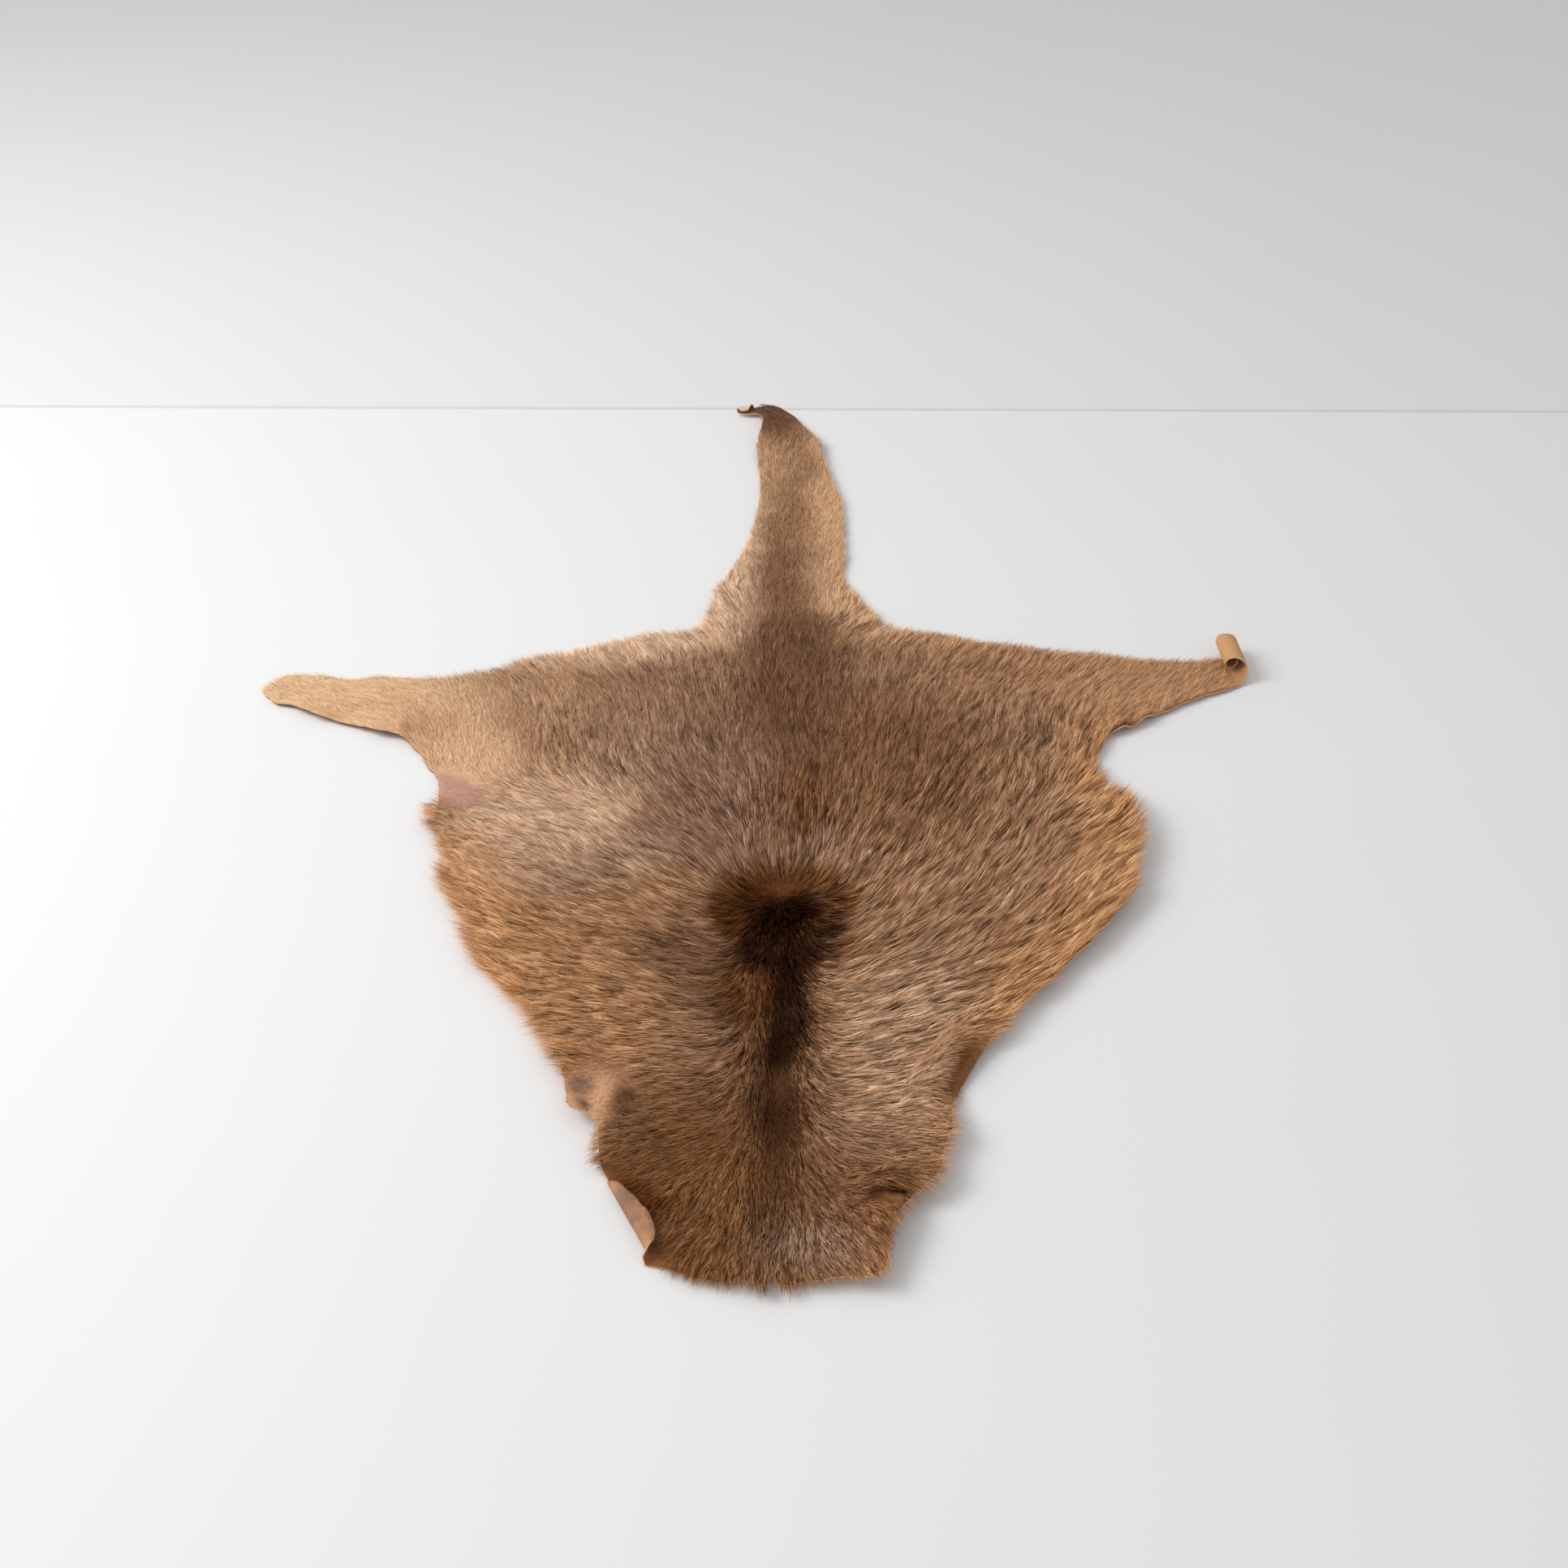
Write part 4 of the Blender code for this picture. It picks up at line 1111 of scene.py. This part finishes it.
# painted shade deep in the pile: the skin is darker the longer the hair over it, and less dark on the bare
# patch
pile_shade = np.interp(reach, UNDER_LENGTHS, PILE_SHADE_SHARES)
pile_shade += (BARE_SHARE - pile_shade) * bare
under = coat * pile_shade[:, None]
under = under / (1 - CAVITY + CAVITY * under)
add_attribute(skin, "under", np.column_stack([np.vstack([under, under]), np.ones(2 * count)]), COLOUR)
print("skin", len(skin.data.polygons), "faces,", len(walls), "of them along the cut")

# %% [markdown]
# The fur grows from a helper, the fur side alone, which never shows. It carries what a hair has to know:
# which way it is combed, how long and thick it is, how dense the fur is, its tone, and which part of the
# rug it belongs to, because the fur is made in eight pieces of a size that other programs can still open.

# %% The helper that the fur grows from
SLIT = Patch("slit", 0.101, -0.618, 8, 0.034, 0.022, 0, 1)
BARE_THINNING = 0.92
EDGE_FINE, EDGE_GIRTH = 0.012, 0.60
TUFTED_FROM, RIM_TUFT = 0.022, 0.35
FLECK_DEPTH, FLECKS_BY_Y = 0.38, ((-0.20, -0.05), (0.35, 1.0))
# painted shade: streaks stronger towards the right, away from the lamp, and weaker on the lit left
STREAK_SHADE_BY_X = ((-0.25, -0.05, 0.15, 0.30), (0.85, 1.0, 1.08, 1.2))
WHORL_RISE = 1.8
COAT_SCATTER = 0.0040
BY_LENGTH = {
    "dense": ((0.003, 0.006, 0.010, 0.016), (0.75, 1.25, 1.45, 1.0)),
    "girth": ((0.003, 0.009, 0.016), (0.60, 0.78, 1.0)),
    "tuft": ((0.008, 0.012, 0.018), (0.06, 0.35, 1.0)),
    "fleck": ((0.0092, 0.0130), (0.0, 1.0)),
    "streaky": ((0.0082, 0.0110, 0.018), (0.42, 0.76, 1.0)),
    "plain": ((0.0080, 0.0120, 0.018), (0.42, 0.80, 1.0)),
    "short": ((0.0082, 0.0105), (1.0, 0.0)),
}

told = {name: np.interp(reach, *steps) for name, steps in BY_LENGTH.items()}
told["dense"] *= 1 - BARE_THINNING * bare
told["girth"] *= EDGE_GIRTH + (1 - EDGE_GIRTH) * smooth(rim / EDGE_FINE)
told["tuft"] *= RIM_TUFT + (1 - RIM_TUFT) * smooth(rim / TUFTED_FROM)
told["fleck"] *= FLECK_DEPTH * np.interp(places[:, 1], *FLECKS_BY_Y)
told["streaky"] *= np.interp(places[:, 0], *STREAK_SHADE_BY_X)
told["reach"] = reach
told["rise"] = 1 + WHORL_RISE * near_whorl(places)
told["spill"] = COAT_SCATTER * (1 - patch_share(places, SLIT))

pelt = mesh_object("pelt", fur_side, triangles.tolist())
for name, values in told.items():
    add_attribute(pelt, name, values)
add_attribute(pelt, "comb", comb, VECTOR)
add_attribute(pelt, "coat", coat, VECTOR)

BELT_NAMES = ("rump", "back", "flank")
REGIONS = ("tail", *(f"{belt}_{side}" for belt in BELT_NAMES for side in ("left", "right")), "neck")
TAIL_ABOVE, BELTS, NECK_BELOW, MIDDLE_X = 0.150, (-0.055, -0.235), -0.415, 0.027
middle = places[triangles].mean(axis=1)
region = 1 + 2 * (middle[:, 1:] < BELTS).sum(axis=1) + (middle[:, 0] > MIDDLE_X)
region[middle[:, 1] > TAIL_ABOVE] = 0
region[middle[:, 1] < NECK_BELOW] = len(REGIONS) - 1
add_attribute(pelt, "region", region, INT, "FACE")
print("the pelt carries", sorted(told), "and its faces by region are", np.bincount(region).tolist())

# %% [markdown]
# One hair is a flat blade of two triangles, a unit long, widest near its middle and a little arched. That
# is enough at this size, and nearly half a million of them stay light. Its points know how far along it
# they are.

# %% One hair
BLADE_MIDDLE, BLADE_ARCH = 0.42, 0.11

blade_points = ((0, 0, 0), (BLADE_MIDDLE, -0.5, BLADE_ARCH), (BLADE_MIDDLE, 0.5, BLADE_ARCH), (1, 0, 0))
blade = mesh_object("blade", blade_points, ((0, 1, 2), (2, 1, 3)))
add_attribute(blade, "along", [p[0] for p in blade_points])
print("one hair has", len(blade.data.polygons), "triangles")

# %% [markdown]
# The tree that grows the fur works like this. Points are scattered on one region of the pelt, and fewer
# points, the middles of the locks, all over it. Each hair has a tip of its own, set by the way it is
# combed, and leans towards the tip of the nearest lock, so that the hairs come together in tufts. A blade
# is put on every point, turned along the hair and stretched to its length. The same seed gives the same fur
# every time.

# %% The tree's inputs, and what it often needs
FUR_INPUTS = {
    "Object": ("Pelt", "Blade"),
    "Int": ("Region", "Seed"),
    "Float": ("Hairs", "Locks", "Width", "Lift", "Gather", "Stray"),
    "Material": ("Material",),
}

tree = bpy.data.node_groups.new("grow fur", "GeometryNodeTree")
for kind, names in FUR_INPUTS.items():
    for name in names:
        tree.interface.new_socket(name, in_out="INPUT", socket_type=f"NodeSocket{kind}")
tree.interface.new_socket("Geometry", in_out="OUTPUT", socket_type="NodeSocketGeometry")
start = Wire(tree)
given = start.node("NodeGroupInput")
place = start.node("GeometryNodeInputPosition")


def named(name, kind=FLOAT):
    """An attribute of the points, by its name."""
    return start.node("GeometryNodeInputNamedAttribute", {"data_type": kind}, {"Name": name})


def store(points, name, what, kind=FLOAT):
    """The points with one more attribute."""
    inputs = {"Geometry": points, "Name": name, "Value": what}
    return start.node("GeometryNodeStoreNamedAttribute", {"data_type": kind, "domain": "POINT"}, inputs)


def chance(low, high, seed):
    """A random number for each point."""
    inputs = {2: low, 3: high, 8: given["Seed"] + seed}
    return start.node("FunctionNodeRandomValue", {"data_type": FLOAT}, inputs, 1)


def push(size, seed):
    """A random push for each point, of up to a size each way."""
    inputs = {0: (-1, -1, -1), 1: (1, 1, 1), 8: given["Seed"] + seed}
    return start.node("FunctionNodeRandomValue", {"data_type": VECTOR}, inputs).scaled(size)


def scattered(**inputs):
    """Points at random on the pelt, each with a number of its own."""
    settings = {"distribute_method": "RANDOM"}
    return start.node("GeometryNodeDistributePointsOnFaces", settings, {"Mesh": shape, **inputs})


print("the tree has", len(tree.interface.items_tree) - 1, "inputs")

# %% Scatter the roots, and find each hair's course and tone
STREAK_FINE = (560.0, 0.20, 0.455, 0.545)
STREAK_SHORT = (1000.0, 0.28, 0.44, 0.56)
STREAK_BROAD = (190.0, 0.34, 0.45, 0.55)
FLECKS = (62.0, 0.34, 0.50, 0.58)
SAMPLES = (-2, -1, 0, 1, 2)
FINE_SHARE = 0.66
UNEVEN_LIFT, UNEVEN_HAIR, GUARD_HAIR = (0.35, 1.65), (0.64, 1.06), 0.55
LOCK_STRAY = 0.5


def combed_noise(scale, step, low, high):
    """Noise drawn out along the hair: the mean of samples up and down it, a share of its length apart."""
    total = 0.0
    for k in SAMPLES:
        shift = named("comb", VECTOR).scaled(named("reach") * (k * step))
        total = total + place.vector("ADD", shift).clouds(scale, 1.0)
    return (total * (1 / len(SAMPLES))).ranged(low, high)


def course(normal, stray, seed):
    """From a hair's root to its tip: combed, lifted off the skin, and a little astray."""
    up = normal.scaled(given["Lift"] * named("rise") * chance(*UNEVEN_LIFT, seed))
    way = named("comb", VECTOR).vector("ADD", up).vector("ADD", push(stray, seed + 1)).vector("NORMALIZE")
    rare = chance(0.0, 1.0, seed + 3)
    length = chance(*UNEVEN_HAIR, seed + 2) + rare * rare * rare * rare * GUARD_HAIR
    return way.scaled(named("reach") * length)


def about(what, middle, share):
    """A value drawn towards a middle, which it reaches where the share is 0."""
    return (what - middle) * share + middle


shape = start.node("GeometryNodeObjectInfo", inputs={"Object": given["Pelt"]}, output="Geometry")
middles = scattered(Density=given["Locks"], Seed=given["Seed"])
lock_tip = place.vector("ADD", course(middles["Normal"], given["Stray"] * LOCK_STRAY, 11))
locks = store(middles, "lock tip", lock_tip, VECTOR)

settings = {"data_type": INT, "operation": "EQUAL"}
mine = start.node("FunctionNodeCompare", settings, {2: named("region", INT), 3: given["Region"]})
roots = scattered(Selection=mine, Density=given["Hairs"] * named("dense"), Seed=given["Seed"] + 1)
points = store(roots, "out", roots["Normal"], VECTOR)
points = store(points, "broad", combed_noise(*STREAK_BROAD))
# streaks along the comb, partly painted shade between locks
streak = combed_noise(*STREAK_FINE) * FINE_SHARE + named("broad") * (1 - FINE_SHARE)
streak = streak + (combed_noise(*STREAK_SHORT) - streak) * named("short")
points = store(points, "streak", about(streak, 0.5, named("streaky")))
points = store(points, "rise", named("rise") * (0.5 + named("broad")))
points = store(points, "fleck", 1 - named("fleck") * combed_noise(*FLECKS))
strewn = place.vector("ADD", push(named("spill"), 71))
inputs = {"Mesh": shape, "Value": named("coat", VECTOR), "Sample Position": strewn}
tone = start.node("GeometryNodeSampleNearestSurface", {"data_type": VECTOR}, inputs)
points = store(points, "coat", tone.scaled(named("fleck")), VECTOR)
points = store(points, "tip", place.vector("ADD", course(roots["Normal"], given["Stray"], 21)), VECTOR)
inputs = {"Geometry": locks, "Sample Position": place}
nearest_lock = start.node("GeometryNodeSampleNearest", {"domain": "POINT"}, inputs)
points = store(points, "lock number", nearest_lock, INT)
print("the tree has", len(tree.nodes), "nodes so far")

# %% Draw the hairs together, and put a blade on each
LOCK_NEAR, LOCK_HOLDS = 0.009, (0.2, 1.0)
ROLL = 0.55
UNEVEN_WIDTH = (0.6, 1.4)
SHORT_TONE_AT = 0.55
FLOOR_GAP, FAR_BELOW = 0.0006, -9.0
number = named("lock number", INT)


def of_lock(what):
    """A value of the lock that a hair belongs to."""
    inputs = {"Geometry": locks, "Value": what, "Index": number}
    return start.node("GeometryNodeSampleIndex", {"data_type": VECTOR, "domain": "POINT"}, inputs)


own_tip = named("tip", VECTOR)
held = place.vector("DISTANCE", of_lock(place), output=1).ranged(LOCK_NEAR, LOCK_NEAR / 2)
share = given["Gather"] * named("tuft") * chance(*LOCK_HOLDS, 31) * held
to_lock = of_lock(named("lock tip", VECTOR)).vector("SUBTRACT", own_tip)
tip = own_tip.vector("ADD", to_lock.scaled(share))
points = store(points, "run", tip.vector("SUBTRACT", place), VECTOR)
points = store(points, "tint", about(chance(0.0, 1.0, 41), 0.5, named("plain")))
lock_tint = start.node("FunctionNodeRandomValue", {"data_type": FLOAT}, {7: number, 8: 5}, 1)
points = store(points, "lock", about(lock_tint, 0.5, named("tuft")))

run = named("run", VECTOR)
length = run.vector("LENGTH", output=1)
width = given["Width"] * named("girth") * chance(*UNEVEN_WIDTH, 61)
settings = {"primary_axis": "X", "secondary_axis": "Z"}
inputs = {"Primary Axis": run, "Secondary Axis": named("out", VECTOR).vector("ADD", push(ROLL, 51))}
turn = start.node("FunctionNodeAxesToRotation", settings, inputs)
size = start.node("ShaderNodeCombineXYZ", inputs={0: length, 1: width, 2: length})
strand = start.node("GeometryNodeObjectInfo", inputs={"Object": given["Blade"]}, output="Geometry")
inputs = {"Points": points, "Instance": strand, "Rotation": turn, "Scale": size}
hairs = start.node("GeometryNodeInstanceOnPoints", inputs=inputs)
grown = start.node("GeometryNodeRealizeInstances", inputs={0: hairs})
grown = store(grown, "along", about(named("along"), SHORT_TONE_AT, named("plain")))
lifted = place.vector("MAXIMUM", (FAR_BELOW, FAR_BELOW, FLOOR_GAP))
grown = start.node("GeometryNodeSetPosition", inputs={"Geometry": grown, "Position": lifted})
for name in (*told, "comb", "region", "out", "broad", "tip", "run", "lock tip", "lock number"):
    grown = start.node("GeometryNodeRemoveAttribute", inputs={"Geometry": grown, "Name": name})
grown = start.node("GeometryNodeSetMaterial", inputs={"Geometry": grown, "Material": given["Material"]})
tree.links.new(grown.socket, tree.nodes.new("NodeGroupOutput").inputs["Geometry"])
print("the tree has", len(tree.nodes), "nodes")

# %% Grow the fur, region by region
FUR = {
    "Pelt": pelt,
    "Blade": blade,
    "Hairs": 800000.0,
    "Locks": 62000.0,
    "Width": 0.00052,
    "Lift": 0.32,
    "Gather": 0.80,
    "Stray": 0.095,
    "Seed": 4,
    "Material": fur,
}
MOST_TRIANGLES = 200000

socket_of = {item.name: item.identifier for item in tree.interface.items_tree if item.in_out == "INPUT"}
carrier = mesh_object("carrier", (), ())
pieces = []
for place_in_row, region_name in enumerate(REGIONS):
    modifier = carrier.modifiers.new("grow fur", "NODES")
    modifier.node_group = tree
    for name, what in {**FUR, "Region": place_in_row}.items():
        modifier[socket_of[name]] = what
    bpy.context.view_layer.update()
    grown_carrier = carrier.evaluated_get(bpy.context.evaluated_depsgraph_get())
    mesh = bpy.data.meshes.new_from_object(grown_carrier)
    mesh.name = f"fur_{region_name}"
    pieces.append(add_object(mesh.name, mesh))
    carrier.modifiers.remove(modifier)
    assert len(mesh.polygons) < MOST_TRIANGLES, mesh.name
    print(mesh.name, len(mesh.polygons), "triangles")
for helper in (carrier, pelt, blade):
    bpy.data.objects.remove(helper, do_unlink=True)
triangle_count = sum(len(p.data.polygons) for p in pieces) + len(skin.data.polygons) + len(walls)
print("triangles in all", triangle_count)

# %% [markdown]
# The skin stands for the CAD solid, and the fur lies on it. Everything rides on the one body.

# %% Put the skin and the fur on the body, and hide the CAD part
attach(skin, "root")
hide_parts("hide")
for piece in pieces:
    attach(piece, "root")
cut_size = tuple(float(side) for side in cut_size)
print("a sheet of", [round(side, 3) for side in cut_size], "m with", len(pieces), "pieces of fur on it")

# %% [markdown]
# The photograph has a white floor with a seam behind the tail, pale light from all sides, and one large
# soft lamp at the left, which makes soft shadows on the right. The world is the pale light, and an area
# lamp the soft one.

# %% Floor and light
FLOOR_DROP, FLOOR_SIZE = -0.0004, 9.0
FLOOR_TONE, CLOUD_SCALE, CLOUD_DEPTH = 0.84, 3.0, 0.02
WORLD_LIGHT = 0.575
KEY_PLACE, KEY_TARGET, KEY_SIZE, KEY_POWER = Vector((-2.5, -0.25, 2.2)), Vector((0.0, -0.1, 0.0)), 1.8, 74.0
SEAM_Y, SEAM_SLOPE, SEAM_HALF, SEAM_SHADE, BACKDROP_SHADE = 0.697, 0.008, 0.006, 0.22, 0.04


def floor_colour(start):
    """Pale, faintly uneven, with painted shade at the seam and on the backdrop past it."""
    place = start.place()
    parts = start.node("ShaderNodeSeparateXYZ", inputs={0: place})
    past = parts["Y"] + parts * SEAM_SLOPE - SEAM_Y
    # painted shade: a dark line where the backdrop meets the floor, and the backdrop past it a little
    # darker
    seam = past.math("ABSOLUTE").ranged(0.0, SEAM_HALF, SEAM_SHADE, 0.0)
    backdrop = past.ranged(0.0, SEAM_HALF, 0.0, BACKDROP_SHADE)
    tone = (FLOOR_TONE - CLOUD_DEPTH / 2 + place.clouds(CLOUD_SCALE) * CLOUD_DEPTH) * (1 - seam - backdrop)
    return start.node("ShaderNodeCombineColor", inputs={0: tone, 1: tone, 2: tone})


half = FLOOR_SIZE / 2
floor_points = [(x, y, FLOOR_DROP) for x, y in ((-half, -half), (half, -half), (half, half), (-half, half))]
floor_finish = finish("floor", base_color=floor_colour, roughness=0.9)
floor = mesh_object("floor", floor_points, [(0, 1, 2, 3)], [0], [floor_finish])

world = bpy.data.worlds.new("studio")
world.use_nodes = True
background = world.node_tree.nodes["Background"]
background.inputs["Color"].default_value = (1.0, 1.0, 1.0, 1.0)
background.inputs["Strength"].default_value = WORLD_LIGHT
bpy.context.scene.world = world

key = bpy.data.lights.new("key", "AREA")
key.shape, key.size, key.energy = "SQUARE", KEY_SIZE, KEY_POWER
add_object("key", key, KEY_PLACE, (KEY_TARGET - KEY_PLACE).to_track_quat("-Z", "Y").to_euler())
bpy.context.scene.view_settings.view_transform = "Standard"
print("world", WORLD_LIGHT, "lamp", KEY_POWER)
